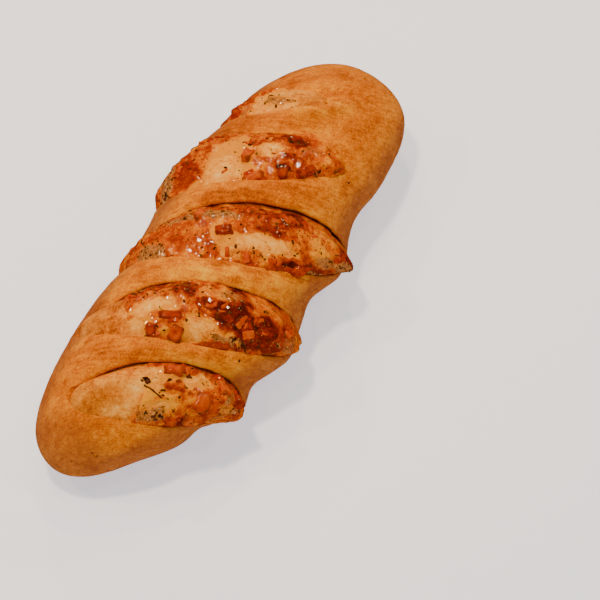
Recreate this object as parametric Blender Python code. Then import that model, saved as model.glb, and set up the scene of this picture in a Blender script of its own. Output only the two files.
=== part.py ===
"""Ham and cheese baguette: a short slashed roll, rolled up round a layer of ham, cheese and herbs.

X runs along the roll, Z is up, and the roll rests on Z = 0 with its middle over the origin.
A place on the roll is (along, turn, depth): along is X, turn is the angle in degrees round the
roll from its top, positive towards +Y, and depth is how far below the smooth crust it lies.
Sizes are in metres, and turns in degrees.
"""

import math
from collections import namedtuple

import bmesh
import bpy
import numpy as np
from mathutils import Matrix, Vector

MM = 0.001

# The loaf without its slashes, as the baker shaped it.
LENGTH = 205 * MM
STATIONS = (-1.0, -0.5, 0.0, 0.5, 1.0)  # shares of the half length, for the two rows below
HALF_WIDTHS = [w * MM for w in (31.0, 35.2, 34.8, 34.6, 31.8)]
SIDEWAYS = [y * MM for y in (5.8, -2.0, 0.2, 6.8, 4.6)]  # how the axis bows towards +Y
AXIS_HEIGHT = 23 * MM
RISE = 27 * MM  # from the axis up to the crust at mid length
DROP = 26 * MM  # from the axis down, before the tray flattens it
TRAY_EDGE = 1.5 * MM  # how gently the flat base turns up into the side
SLICED_OFF = 0.4 * MM  # of the loaf's underside, which leaves it truly flat
NEAR_BLUNTNESS = 2.4  # of the end at -X: 2 is an ellipse, more is blunter
FAR_BLUNTNESS = 3.4

# Where the bake pushed the loaf out (+) or the straps held it in (-), along the straps' slant.
STRAP_SLANT = -0.30 * MM  # along per degree of turn
Swelling = namedtuple("Swelling", "along turn reach turn_reach height")
SWELLINGS = [
    Swelling(13 * MM, 76, 11 * MM, 34, 4.2 * MM),
    Swelling(49 * MM, 80, 10 * MM, 34, -2.6 * MM),
    Swelling(-28 * MM, 75, 18 * MM, 35, -1.8 * MM),
    Swelling(-23 * MM, -88, 9 * MM, 40, 3.6 * MM),
    Swelling(-44 * MM, -85, 7 * MM, 40, -3.2 * MM),
    Swelling(1 * MM, -88, 8 * MM, 40, -2.8 * MM),
    Swelling(21 * MM, -88, 10 * MM, 36, 4.0 * MM),
    Swelling(42 * MM, -85, 13 * MM, 40, -3.0 * MM),
    Swelling(-52 * MM, -84, 7 * MM, 34, 5.0 * MM),
    Swelling(-64 * MM, -104, 6 * MM, 28, -3.0 * MM),
    Swelling(-98 * MM, -80, 10 * MM, 60, -2.6 * MM),
    Swelling(17 * MM, 0, 8 * MM, 45, 1.2 * MM),
    Swelling(-22 * MM, 0, 7 * MM, 50, 1.6 * MM),
    Swelling(-59 * MM, 0, 8 * MM, 45, 1.2 * MM),
]

# The slashes, from the far end to the near one. Each crosses the roll on a slant.
Slash = namedtuple("Slash", "along turn half_turn half_width slant rise far_lip near_lip")
SLASHES = [
    Slash(56.0 * MM, 38, 48, 6.5 * MM, -0.22 * MM, 0.4 * MM, 0.3, 0.4),
    Slash(27.2 * MM, 22, 71, 11.2 * MM, -0.31 * MM, 1.2 * MM, 0.35, 0.4),
    Slash(-0.4 * MM, -10, 98, 12.6 * MM, -0.31 * MM, 2.0 * MM, 0.75, 0.45),
    Slash(-36.0 * MM, -22, 87, 12.0 * MM, -0.30 * MM, 2.0 * MM, 0.5, 0.4),
    Slash(-66.0 * MM, -45, 72, 13.0 * MM, -0.27 * MM, 1.6 * MM, 0.75, 0.3),
]
POINTEDNESS = 2.6  # how late a slash narrows towards its ends
CRUST_THICKNESS = 3.6 * MM  # of the straps between the slashes
LIP_RADIUS = 2.0 * MM
LIP_TAPER = 7 * MM  # over which a strap thins towards a shallow lip
SHOULDER = 1.0 * MM  # how far a strap slopes down to its edge
SHOULDER_REACH = 6 * MM  # over which it slopes
FULL_SHOULDER_LIP = 0.4  # a lip of this share has the whole slope
MOUND_SHOULDER = 9 * MM  # how far in from a lip the dough has risen to its full height
CREASE_DEPTH = 1.2 * MM  # of a slash at its very ends

# The filling: one layer through the roll, between the straps and the dough rolled up inside.
FILLING_THICKNESS = 2.4 * MM
FILLING_TURNS = (-118.0, 100.0)
FILLING_NEAR_EDGE = {  # turn: along, where the layer stops towards -X
    -118: -63, -100: -70, -80: -79, -60: -87, -45: -86, -30: -75, -15: -65,
    5: -61, 20: -53, 35: -45, 60: -42, 100: -39,
}
FILLING_FAR_EDGE = {  # turn: along, where it stops towards +X
    -118: 36, -90: 41, -60: 47, -45: 53, -20: 56, 0: 58, 12: 64, 30: 70, 60: 71, 100: 67,
}
COVER_BLEND = 3 * MM  # over which bare dough sinks to make room for the layer
LUMP_HEIGHT = 0.7 * MM
LUMP_SPACING = 11 * MM

# Diced ham that shows: its place, its sides in millimetres, and its spin and tip in degrees.
Die = namedtuple("Die", "along turn long wide thick spin tip")  # along in millimetres too
HAM_DICE = [
    Die(52.0, 50, 4.4, 3.2, 2.8, 20, 10),
    Die(28.5, 12, 5.6, 3.2, 3.2, 5, 12),
    Die(22.0, 3, 8.0, 2.6, 2.6, -52, 6),
    Die(30.0, -12, 4.0, 3.4, 3.0, 30, -10),
    Die(35.5, -23, 4.2, 3.4, 3.0, -25, 12),
    Die(-4.5, 16.5, 5.2, 3.6, 3.0, -40, 14),
    Die(-5.5, -1.5, 5.8, 3.6, 3.2, -60, -12),
    Die(8.0, -10, 4.0, 3.4, 3.0, 20, 10),
    Die(13.5, -31, 4.2, 3.6, 3.2, 10, -12),
    Die(-5.5, -39, 4.8, 4.2, 3.4, -30, 10),
    Die(2.5, -54, 4.8, 4.4, 3.6, 10, 12),
    Die(19.0, -73, 4.4, 3.8, 3.4, 30, -14),
    Die(-45.8, -5, 7.4, 2.8, 2.8, -56, 8),
    Die(-52.8, -1, 3.8, 3.6, 3.2, 30, -12),
    Die(-49.5, -15, 5.4, 4.4, 3.6, 15, 14),
    Die(-60.0, -31, 7.0, 3.0, 2.8, -60, -10),
    Die(-52.0, -67, 5.6, 3.6, 3.2, 10, 14),
    Die(-62.0, -59, 6.4, 4.8, 3.6, 35, 10),
    Die(-72.0, -61, 4.6, 3.2, 2.8, -55, 8),
    Die(-67.5, -71, 4.6, 3.2, 2.8, -50, -8),
    Die(-50.5, -80, 4.6, 3.8, 3.4, 0, 12),
]
DIE_PROUD = 0.5  # share of a die's thickness that stands above the filling
DIE_EDGE = 0.5 * MM  # radius of its worn edges
OUT_OF_SQUARE = 0.12  # how far its corners stray, as a share of its sides

GAP = 0.3 * MM  # between neighbouring solids
BREAD_RINGS, BREAD_COLUMNS = 240, 220
BREAD_VOXEL = 1.0 * MM
SOFTENING_PASSES = 5
FILLING_ROWS, FILLING_COLUMNS = 130, 110
BREAD_KEPT, FILLING_KEPT = 0.031, 0.0315  # shares of their triangles, once they are thinned out

BREAD_COLOUR = (0.72, 0.42, 0.17, 1.0)
FILLING_COLOUR = (0.80, 0.50, 0.18, 1.0)
HAM_COLOUR = (0.72, 0.27, 0.16, 1.0)


def remove_everything():
    for obj in list(bpy.data.objects):
        bpy.data.objects.remove(obj)


def through(stations, values, at):
    """A smooth line through values at stations, read at the places `at`."""
    stations = np.asarray(stations, float)
    values = np.asarray(values, float)
    slopes = np.gradient(values, stations)
    at = np.clip(at, stations[0], stations[-1])
    k = np.clip(np.searchsorted(stations, at, side="right") - 1, 0, len(stations) - 2)
    step = stations[k + 1] - stations[k]
    t = (at - stations[k]) / step
    start = values[k] * (1 + 2 * t) * (1 - t) ** 2 + slopes[k] * step * t * (1 - t) ** 2
    end = values[k + 1] * t**2 * (3 - 2 * t) + slopes[k + 1] * step * t**2 * (t - 1)
    return start + end


def ease(value):
    """0 below 0, 1 above 1, and smooth between."""
    t = np.clip(value, 0.0, 1.0)
    return t * t * (3 - 2 * t)


def fullness(share):
    """The loaf's girth at a share of its half length, as a share of its girth in the middle."""
    blunt = np.where(share < 0, NEAR_BLUNTNESS, FAR_BLUNTNESS)
    return (1 - np.clip(np.abs(share), 0, 1) ** blunt) ** (1 / blunt)


def swelling(along, turn):
    height = np.zeros(np.broadcast(along, turn).shape)
    for s in SWELLINGS:
        across = along - s.along - STRAP_SLANT * (turn - s.turn)
        away = (across / s.reach) ** 2 + ((turn - s.turn) / s.turn_reach) ** 2
        height = height + s.height * np.exp(-away)
    return height


def place(along, turn, depth):
    """The points at these places, as an array whose last axis is X, Y, Z."""
    along, turn, depth = np.broadcast_arrays(along, turn, depth)
    share = along / (LENGTH / 2)
    full = fullness(share)
    half_width = through(STATIONS, HALF_WIDTHS, share) * full
    scale = through(STATIONS, HALF_WIDTHS, share) / HALF_WIDTHS[2] * full**0.9
    up, side = np.cos(np.radians(turn)), np.sin(np.radians(turn))
    out_y = half_width * side
    out_z = np.where(up > 0, RISE, DROP) * scale * up
    radius = np.hypot(out_y, out_z) + 1e-9
    grown = 1 + (swelling(along, turn) * full - depth) / radius
    axis_y = through(STATIONS, SIDEWAYS, share)
    axis_z = AXIS_HEIGHT * (0.65 + 0.35 * full)
    z = axis_z + out_z * grown
    rounded = np.where(z > TRAY_EDGE, z, (z + TRAY_EDGE) ** 2 / (4 * TRAY_EDGE))
    flattened = np.where(z < -TRAY_EDGE, 0.0, rounded) - SLICED_OFF
    return np.stack([along, axis_y + out_y * grown, flattened], -1)


def in_slash(slash, along, turn):
    """(how far outside the slash's edge a place is, negative inside; how open it is there; its lip).

    The lip is the strap's depth at the nearest edge as a share of the full crust thickness.
    """
    end = (turn - slash.turn) / slash.half_turn
    opened = np.clip(1 - np.abs(end) ** POINTEDNESS, 0, 1)
    middle_radius = (RISE + HALF_WIDTHS[2]) / 2
    per_degree = math.radians(1) * middle_radius
    lean = per_degree / math.hypot(per_degree, slash.slant)
    across = (along - slash.along - slash.slant * (turn - slash.turn)) * lean
    past = np.clip(np.abs(end) - 1, 0, None) * slash.half_turn * per_degree
    outside = np.hypot(across, past) - slash.half_width * opened
    farness = ease(0.5 + across / (slash.half_width + 1e-6))
    return outside, opened, slash.near_lip + (slash.far_lip - slash.near_lip) * farness


def mound(slash, outside, opened):
    """How far the dough rolled up inside rises through the slash: 0 at its edge, 1 in its middle."""
    shoulder = np.minimum(MOUND_SHOULDER, slash.half_width * opened) + 1e-6
    inwards = np.clip(-outside / shoulder, 0, 1)
    return (1 - (1 - inwards) ** 2.2) * ease(opened * 2.5)


def shoulder(outside, opened, lip):
    """How far a strap's rounded shoulder slopes down to a slash's edge."""
    near_edge = np.clip(1 - outside / SHOULDER_REACH, 0, 1) ** 2
    return SHOULDER * near_edge * np.clip(lip / FULL_SHOULDER_LIP, 0, 1) * ease(opened * 2.5)


def layer_depth(along, turn):
    """Depth of the filling's upper face: under the straps, and up over each mound."""
    depth = np.full(np.broadcast(along, turn).shape, CRUST_THICKNESS)
    for slash in SLASHES:
        outside, opened, lip = in_slash(slash, along, turn)
        under_strap = lip + (1 - lip) * ease(outside / LIP_TAPER)
        edge_depth = CRUST_THICKNESS * under_strap + shoulder(np.maximum(outside, 0), opened, lip)
        risen = (edge_depth + slash.rise) * mound(slash, outside, opened)
        depth = np.minimum(depth, edge_depth - risen)
    return depth


def layer_underside(along, turn):
    """Depth of the filling's lower face: everywhere one thickness from its upper face."""
    radius = (RISE + HALF_WIDTHS[2]) / 2
    depth = layer_depth(along, turn) + FILLING_THICKNESS
    for share in (0.4, 0.7, 0.9, 1.0):
        for way in np.arange(0, 2 * math.pi, math.pi / 4):
            step = share * FILLING_THICKNESS
            nearby = layer_depth(
                along + step * math.cos(way), turn + math.degrees(step * math.sin(way) / radius)
            )
            depth = np.maximum(depth, nearby + math.sqrt(FILLING_THICKNESS**2 - step**2))
    return depth


def covered(along, turn):
    """1 where the filling lies, 0 beyond its edges."""
    near = through(list(FILLING_NEAR_EDGE), list(FILLING_NEAR_EDGE.values()), turn) * MM
    far = through(list(FILLING_FAR_EDGE), list(FILLING_FAR_EDGE.values()), turn) * MM
    low, high = FILLING_TURNS
    inside = np.minimum(along - near, far - along) / COVER_BLEND
    return ease(inside) * ease((turn - low) / 6) * ease((high - turn) / 6)


def carved(along, turn):
    """Depth that the slashes take off the loaf, with rounded lips and the mound as their floor."""
    depth = np.zeros(np.broadcast(along, turn).shape)
    upper, lower = layer_depth(along, turn), layer_underside(along, turn)
    floor = upper + covered(along, turn) * (lower - upper) / 2
    for slash in SLASHES:
        outside, opened, lip = in_slash(slash, along, turn)
        cut = CREASE_DEPTH + (CRUST_THICKNESS + FILLING_THICKNESS) * ease(opened * 2)
        radius = np.minimum(LIP_RADIUS, 0.8 * CRUST_THICKNESS * lip) * np.minimum(1, 0.3 + 2 * opened)
        from_lip = np.clip(radius - outside, 0, radius)
        rounding = radius - np.sqrt(np.maximum(radius**2 - from_lip**2, 0))
        rounding = rounding + shoulder(np.maximum(outside, 0), opened, lip)
        depth = np.where(outside < 0, np.minimum(floor, cut), np.maximum(depth, rounding))
    return depth


def object_from(name, bm):
    """An object that takes over this mesh."""
    bmesh.ops.recalc_face_normals(bm, faces=bm.faces)
    mesh = bpy.data.meshes.new(name)
    bm.to_mesh(mesh)
    bm.free()
    obj = bpy.data.objects.new(name, mesh)
    bpy.context.scene.collection.objects.link(obj)
    return obj


def cutter_from(name, bm):
    """A hidden object that only shapes its neighbours."""
    cutter = object_from(name, bm)
    cutter.hide_render = True
    cutter.display_type = "WIRE"
    return cutter


def baked_material(name, colour, roughness):
    material = bpy.data.materials.new(name)
    material.use_nodes = True
    shader = material.node_tree.nodes["Principled BSDF"]
    shader.inputs["Base Color"].default_value = colour
    shader.inputs["Roughness"].default_value = roughness
    return material


def grid_of(bm, points):
    """The vertices of a grid of points, row by row."""
    return [[bm.verts.new(Vector(p)) for p in row] for row in points]


def strip_faces(bm, row, next_row, closed):
    """The quads between two rows of vertices."""
    count = len(row) if closed else len(row) - 1
    for k in range(count):
        m = (k + 1) % len(row)
        bm.faces.new((row[k], row[m], next_row[m], next_row[k]))


def thin_out(obj, kept):
    """Keep this share of the triangles, most of them where the shape bends most."""
    modifier = obj.modifiers.new("thin_out", "DECIMATE")
    modifier.ratio = kept


def even_out(obj):
    """Remake the mesh as even squares."""
    modifier = obj.modifiers.new("even_out", "REMESH")
    modifier.mode = "VOXEL"
    modifier.voxel_size = BREAD_VOXEL


def soften(obj):
    """Round the lips and creases."""
    modifier = obj.modifiers.new("soften", "SMOOTH")
    modifier.factor = 0.5
    modifier.iterations = SOFTENING_PASSES


def loaf():
    """The whole bread as rings round the axis, closed by a point at each end."""
    bm = bmesh.new()
    share = np.sin(np.linspace(-math.pi / 2, math.pi / 2, BREAD_RINGS + 2))[1:-1]
    along = (share * LENGTH / 2)[:, None]
    turn = np.linspace(-180, 180, BREAD_COLUMNS, endpoint=False)[None, :]
    rings = grid_of(bm, place(along, turn, carved(along, turn)))
    for ring, next_ring in zip(rings, rings[1:]):
        strip_faces(bm, ring, next_ring, closed=True)
    for ring, end in ((rings[0], -1), (rings[-1], 1)):
        tip = bm.verts.new(Vector(place(end * LENGTH / 2, 0.0, 0.0)))
        for k in range(len(ring)):
            bm.faces.new((ring[k], ring[(k + 1) % len(ring)], tip))
    return object_from("bread", bm)


def lumps(along, turn):
    """Gentle unevenness of the baked filling."""
    wave = 2 * math.pi / LUMP_SPACING
    round_roll = np.radians(turn) * HALF_WIDTHS[2]
    return (
        np.sin(along * wave + 2.1 * np.sin(round_roll * wave * 0.6))
        * np.sin(round_roll * wave * 0.8 + 1.3 * np.sin(along * wave * 0.7))
    ) * LUMP_HEIGHT


def filling_layer():
    """The layer as two grids, its upper and its lower face, joined round the rim."""
    bm = bmesh.new()
    turn = np.linspace(*FILLING_TURNS, FILLING_COLUMNS)[None, :]
    near = through(list(FILLING_NEAR_EDGE), list(FILLING_NEAR_EDGE.values()), turn) * MM
    far = through(list(FILLING_FAR_EDGE), list(FILLING_FAR_EDGE.values()), turn) * MM
    along = near + (far - near) * np.linspace(0, 1, FILLING_ROWS)[:, None]
    depth = layer_depth(along, turn)
    opened = ease((CRUST_THICKNESS - depth) / (2 * MM))
    upper = grid_of(bm, place(along, turn, depth - lumps(along, turn) * opened))
    lower = grid_of(bm, place(along, turn, layer_underside(along, turn)))
    for rows in (upper, lower):
        for row, next_row in zip(rows, rows[1:]):
            strip_faces(bm, row, next_row, closed=False)
    rims = []
    for rows in (upper, lower):
        right = [row[-1] for row in rows[1:]]
        left = [row[0] for row in rows[-2:0:-1]]
        rims.append(rows[0] + right + rows[-1][-2::-1] + left)
    strip_faces(bm, *rims, closed=True)
    return object_from("filling", bm)


def ham_die(name, die):
    """A die of ham: a block with worn edges, and a little out of square."""
    bm = bmesh.new()
    bmesh.ops.create_cube(bm, size=1.0)
    bmesh.ops.scale(bm, vec=Vector((die.long, die.wide, die.thick)) * MM, verts=bm.verts)
    for vertex in bm.verts:
        skew = OUT_OF_SQUARE * math.sin(die.along + 40 * (vertex.co.x + 2 * vertex.co.z) / MM)
        vertex.co.x *= 1 + skew
        vertex.co.y *= 1 - skew
    edges = list(bm.edges)
    bmesh.ops.bevel(
        bm, geom=edges, offset=DIE_EDGE, affect="EDGES", segments=1, profile=0.5, material=-1
    )
    return object_from(name, bm)


def stand_on_layer(die):
    """The matrix that sets a die on the filling, its broad side along the surface."""
    along, turn = die.along * MM, float(die.turn)
    depth = layer_depth(along, turn) + (0.5 - DIE_PROUD) * die.thick * MM
    here = Vector(place(along, turn, depth))
    ahead = Vector(place(along + MM, turn, layer_depth(along + MM, turn)))
    base = Vector(place(along, turn, layer_depth(along, turn)))
    round_roll = Vector(place(along, turn + 2, layer_depth(along, turn + 2))) - base
    tangent = (ahead - base).normalized()
    outwards = round_roll.cross(tangent).normalized() * -1
    sideways = outwards.cross(tangent)
    axes = Matrix((tangent, sideways, outwards)).transposed().to_4x4()
    spin = Matrix.Rotation(math.radians(die.spin), 4, "Z")
    tip = Matrix.Rotation(math.radians(die.tip), 4, "Y")
    return Matrix.Translation(here) @ axes @ spin @ tip


def clearance_of(name, objects):
    """A cutter: the objects' finished shapes, grown by the gap to their neighbours."""
    bpy.context.view_layer.update()
    depsgraph = bpy.context.evaluated_depsgraph_get()
    together = bmesh.new()
    for obj in objects:
        finished = obj.evaluated_get(depsgraph).to_mesh()
        bm = bmesh.new()
        bm.from_mesh(finished)
        bm.transform(obj.matrix_world)
        bm.normal_update()
        for vertex, normal in [(v, v.normal.copy()) for v in bm.verts]:
            vertex.co += normal * GAP * min(2.0, vertex.calc_shell_factor())
        grown = bpy.data.meshes.new("grown")
        bm.to_mesh(grown)
        bm.free()
        together.from_mesh(grown)
    return cutter_from(name, together)


def tray():
    """A cutter: everything below the plane the roll rests on."""
    bm = bmesh.new()
    bmesh.ops.create_cube(bm, size=1.0)
    bmesh.ops.scale(bm, vec=Vector((1.5 * LENGTH, LENGTH, 20 * MM)), verts=bm.verts)
    bmesh.ops.translate(bm, vec=Vector((0, 0, -10 * MM)), verts=bm.verts)
    return cutter_from("tray", bm)


def cut_by(obj, cutter):
    modifier = obj.modifiers.new(cutter.name, "BOOLEAN")
    modifier.operation = "DIFFERENCE"
    modifier.solver = "EXACT"
    modifier.object = cutter


def build():
    remove_everything()
    crust = baked_material("crust", BREAD_COLOUR, 0.55)
    cheese = baked_material("cheese_and_herbs", FILLING_COLOUR, 0.4)
    ham = baked_material("ham", HAM_COLOUR, 0.4)

    bread = loaf()
    even_out(bread)
    soften(bread)
    thin_out(bread, BREAD_KEPT)
    filling = filling_layer()
    soften(filling)
    thin_out(filling, FILLING_KEPT)
    dice = [ham_die(f"ham_{number:02d}", die) for number, die in enumerate(HAM_DICE, start=1)]
    for piece, die in zip(dice, HAM_DICE):
        piece.matrix_world = stand_on_layer(die)
        piece.data.materials.append(ham)
    bread.data.materials.append(crust)
    filling.data.materials.append(cheese)

    room_for_filling = clearance_of("filling_clearance", [filling])
    room_for_ham = clearance_of("ham_clearance", dice)
    cut_by(filling, room_for_ham)
    cut_by(bread, room_for_filling)
    cut_by(bread, room_for_ham)
    cut_by(bread, tray())


build()
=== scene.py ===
# %% [markdown]
# # Ham and cheese baguette
#
# A short baguette roll, baked round a layer of cheese, diced ham and herbs. The baker slashed it
# on a slant right through its outer dough, so that in the oven the straps drew apart and the
# filled dough under them swelled up through the gaps.
#
# The solids of the roll come in first. They give every size and place below, and each detailed
# piece stands for one or more of them. X runs along the roll, Z is up, and all is in metres.

# %% Load the solids
import itertools
import math
from collections import namedtuple
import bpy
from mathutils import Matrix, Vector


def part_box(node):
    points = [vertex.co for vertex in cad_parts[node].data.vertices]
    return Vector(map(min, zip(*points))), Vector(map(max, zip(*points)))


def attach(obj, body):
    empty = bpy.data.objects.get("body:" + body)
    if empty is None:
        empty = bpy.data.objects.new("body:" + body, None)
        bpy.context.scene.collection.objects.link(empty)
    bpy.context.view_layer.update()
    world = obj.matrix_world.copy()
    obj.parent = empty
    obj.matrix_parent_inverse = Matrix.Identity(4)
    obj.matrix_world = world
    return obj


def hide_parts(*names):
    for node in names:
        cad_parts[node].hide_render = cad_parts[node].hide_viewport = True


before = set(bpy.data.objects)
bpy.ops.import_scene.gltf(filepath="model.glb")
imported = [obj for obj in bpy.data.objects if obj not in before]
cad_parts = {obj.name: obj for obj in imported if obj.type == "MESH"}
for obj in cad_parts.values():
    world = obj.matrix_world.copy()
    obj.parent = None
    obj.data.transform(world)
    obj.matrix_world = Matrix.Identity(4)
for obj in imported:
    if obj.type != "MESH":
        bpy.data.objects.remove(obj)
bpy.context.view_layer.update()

from types import SimpleNamespace

import bmesh
import bpy
import numpy as np
from mathutils import Matrix, Vector

MM = 0.001

# %% [markdown]
# ## Colours and nodes
#
# Colours are easiest to judge as the hex values a colour picker shows, but Blender's shaders work
# in linear light. One function turns the first into the second. Another adds any shader node with
# its settings and inputs. The rest are what all the finishes here do: they start from values that
# are stored on the mesh and from cloudy noise, add these up, lay colours over one another, and
# stack bumps. So each material below reads as a short recipe.


# %% Add a node
def linear(hex_colour):
    """The linear RGBA of an sRGB hex colour."""
    shares = [int(hex_colour[i:i + 2], 16) / 255 for i in (1, 3, 5)]
    light = [s / 12.92 if s <= 0.04045 else ((s + 0.055) / 1.055) ** 2.4 for s in shares]
    return (*light, 1.0)


def feed(material, node, inputs):
    """Links each input that is another node's output, and sets any other. Colours are hex."""
    for name, value in inputs.items():
        if isinstance(value, bpy.types.NodeSocket):
            material.node_tree.links.new(value, node.inputs[name])
        else:
            node.inputs[name].default_value = linear(value) if isinstance(value, str) else value


def add_node(material, kind, settings=None, inputs=None, stops=(), output=0):
    """Adds a shader node and gives its output. `stops` are a colour ramp's (place, hex colour)."""
    node = material.node_tree.nodes.new("ShaderNode" + kind)
    for name, value in (settings or {}).items():
        setattr(node, name, value)
    feed(material, node, inputs or {})
    if stops:
        elements = node.color_ramp.elements
        while len(elements) < len(stops):
            elements.new(1.0)
        for element, (at, hex_colour) in zip(elements, stops):
            element.position = at
            element.color = linear(hex_colour)
    return node.outputs[output]


# %% Start, mix and finish a material
EASED = {"interpolation_type": "SMOOTHSTEP"}  # makes a Map Range start and stop softly


def new_material(name, values=(), patterns=None):
    """A material, its Principled shader, and what its recipe starts from, by name: values stored
    on the mesh, and patterns as (millimetres across, detail, roughness). Streaks follow the grain."""
    material = bpy.data.materials.new(name)
    material.use_nodes = True
    has = {
        value: add_node(material, "Attribute", {"attribute_name": value}, output="Fac")
        for value in values
    }
    for pattern, (across, detail, roughness) in (patterns or {}).items():
        if pattern == "streaks":
            where = add_node(material, "Attribute", {"attribute_name": "grain"}, output="Vector")
        else:
            where = add_node(material, "TexCoord", output="Object")
        has[pattern] = add_node(material, "TexNoise", None, {
            "Vector": where, "Scale": 1 / (across * MM), "Detail": detail, "Roughness": roughness,
        })
    return material, material.node_tree.nodes["Principled BSDF"], SimpleNamespace(**has)


def weighed(material, start, *terms):
    """start plus each (pattern, weight), held between 0 and 1 at the end."""
    total = start
    for term in terms:
        settings = {"operation": "MULTIPLY_ADD", "use_clamp": term is terms[-1]}
        total = add_node(material, "Math", settings, {0: term[0], 1: term[1], 2: total})
    return total


def layered(material, colour, *layers):
    """A colour under layers of (pattern, where it starts, where it is full, how dense, colour)."""
    for pattern, start, full, density, above in layers:
        share = add_node(
            material, "MapRange", EASED,
            {"Value": pattern, "From Min": start, "From Max": full, "To Max": density},
        )
        colour = add_node(
            material, "Mix", {"data_type": "RGBA"}, {"Factor": share, 6: colour, 7: above}, output=2
        )
    return colour


def finish(material, shader, sockets, bumps):
    """Feeds the shader, and stacks (pattern, metres) bumps on it from coarse to fine."""
    below = {}
    for pattern, metres in bumps:
        bump = add_node(material, "Bump", None, {"Height": pattern, "Distance": metres, **below})
        below = {"Normal": bump}
    feed(material, shader, {**sockets, **below})


def give(material, *objects):
    """Puts the material on these objects, and prints that."""
    for obj in objects:
        obj.data.materials.append(material)
    print(material.name, "on", [obj.name for obj in objects], len(material.node_tree.nodes), "nodes")


# %% [markdown]
# ## Camera
#
# The photograph looks down at the roll from its near end, a little to one side. The camera is a
# long lens well away from the roll, so there is little perspective.

# %% Camera
LENS, SENSOR, PICTURE = 150.0, 36.0, 600  # millimetres, millimetres, pixels
METRES_PER_PIXEL = 0.000369  # at the roll
AZIMUTH, ELEVATION = math.radians(-56.5), math.radians(55)
ROLL_CENTRE = Vector((-0.004, 0.0016, 0.0246))
ROLL_PIXEL = (222, 268)  # where the picture shows that centre

back = Vector((
    math.sin(AZIMUTH) * math.cos(ELEVATION),
    -math.cos(AZIMUTH) * math.cos(ELEVATION),
    math.sin(ELEVATION),
))
right = Vector((math.cos(AZIMUTH), math.sin(AZIMUTH), 0))
up = back.cross(right)
to_left = (ROLL_PIXEL[0] - PICTURE / 2) * METRES_PER_PIXEL
to_top = (ROLL_PIXEL[1] - PICTURE / 2) * METRES_PER_PIXEL
aim = ROLL_CENTRE - right * to_left + up * to_top
camera = bpy.data.objects.new("camera", bpy.data.cameras.new("camera"))
camera.data.lens = LENS
camera.data.sensor_width = SENSOR
place_of_camera = aim + back * (METRES_PER_PIXEL * PICTURE * LENS / SENSOR)
turned = Matrix((right, up, back)).transposed().to_4x4()
camera.matrix_world = Matrix.Translation(place_of_camera) @ turned
bpy.context.scene.collection.objects.link(camera)
bpy.context.scene.camera = camera
print("camera", round((place_of_camera - aim).length, 3), "m away")

# %% [markdown]
# ## Floor and light
#
# A white sweep, as for a catalogue picture. A lamp overhead gives the shape, and a bright sky and a
# glowing floor fill the shadows. Seen in oily cheese, so much white would lie as a veil over its
# colours, so the sky and the floor are kept out of the gloss. Small lamps all round put sharp
# glints there instead.

# %% Floor and light
FLOOR_GLOW, SKY_STRENGTH = 0.8, 0.38
FLOOR_RADIUS = 3.0
OVERHEAD, OVERHEAD_SIZE, OVERHEAD_WATTS = (-0.12, 0.15, 0.95), 0.08, 5.0
GLINTS = {  # watts of the small lamp at each place
    (-0.25, 0.40, 0.60): 0.9, (0.30, 0.20, 0.65): 0.9, (0.05, 0.30, 0.75): 0.5,
    (0.55, -0.05, 0.50): 0.6, (0.45, 0.45, 0.45): 0.6, (0.15, -0.35, 0.65): 0.5,
}
GLINT_SIZE = 0.04


def area_light(name, spot, size, watts, colour):
    """A square lamp that looks at the roll."""
    lamp = bpy.data.lights.new(name, "AREA")
    lamp.size = size
    lamp.energy = watts
    lamp.color = linear(colour)[:3]
    obj = bpy.data.objects.new(name, lamp)
    obj.location = spot
    obj.rotation_euler = (ROLL_CENTRE - Vector(spot)).to_track_quat("-Z", "Y").to_euler()
    bpy.context.scene.collection.objects.link(obj)


def white_floor():
    """A wide disc of white paper, lit a little from within so that it stays white in the picture."""
    bm = bmesh.new()
    bmesh.ops.create_circle(bm, cap_ends=True, segments=64, radius=FLOOR_RADIUS)
    mesh = bpy.data.meshes.new("floor")
    bm.to_mesh(mesh)
    bm.free()
    floor = bpy.data.objects.new("floor", mesh)
    bpy.context.scene.collection.objects.link(floor)
    material, shader, _ = new_material("white paper sweep")
    finish(material, shader, {
        "Base Color": "#F4F4F4", "Roughness": 0.9,
        "Emission Color": "#E4EEFF", "Emission Strength": FLOOR_GLOW,
    }, [])
    mesh.materials.append(material)
    floor.visible_glossy = False


white_floor()
world = bpy.data.worlds.new("studio")
world.use_nodes = True
sky = world.node_tree.nodes["Background"]
sky.inputs["Color"].default_value = linear("#FFFAF0")
sky.inputs["Strength"].default_value = SKY_STRENGTH
world.cycles_visibility.glossy = False
bpy.context.scene.world = world
area_light("overhead", OVERHEAD, OVERHEAD_SIZE, OVERHEAD_WATTS, "#FFE8C8")
for number, (spot, watts) in enumerate(GLINTS.items()):
    area_light(f"glints_{number}", spot, GLINT_SIZE, watts, "#FFE2AC")
print("stage made, with", 1 + len(GLINTS), "lamps")

# %% [markdown]
# ## The shape of the roll
#
# A place on the roll is (along, turn, depth): along is X, turn is the angle in degrees round the
# roll from its top, and depth is how far below the smooth loaf it lies. The solids were made in
# this way, and the same measures are repeated here so that the detailed pieces land on them.

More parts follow.
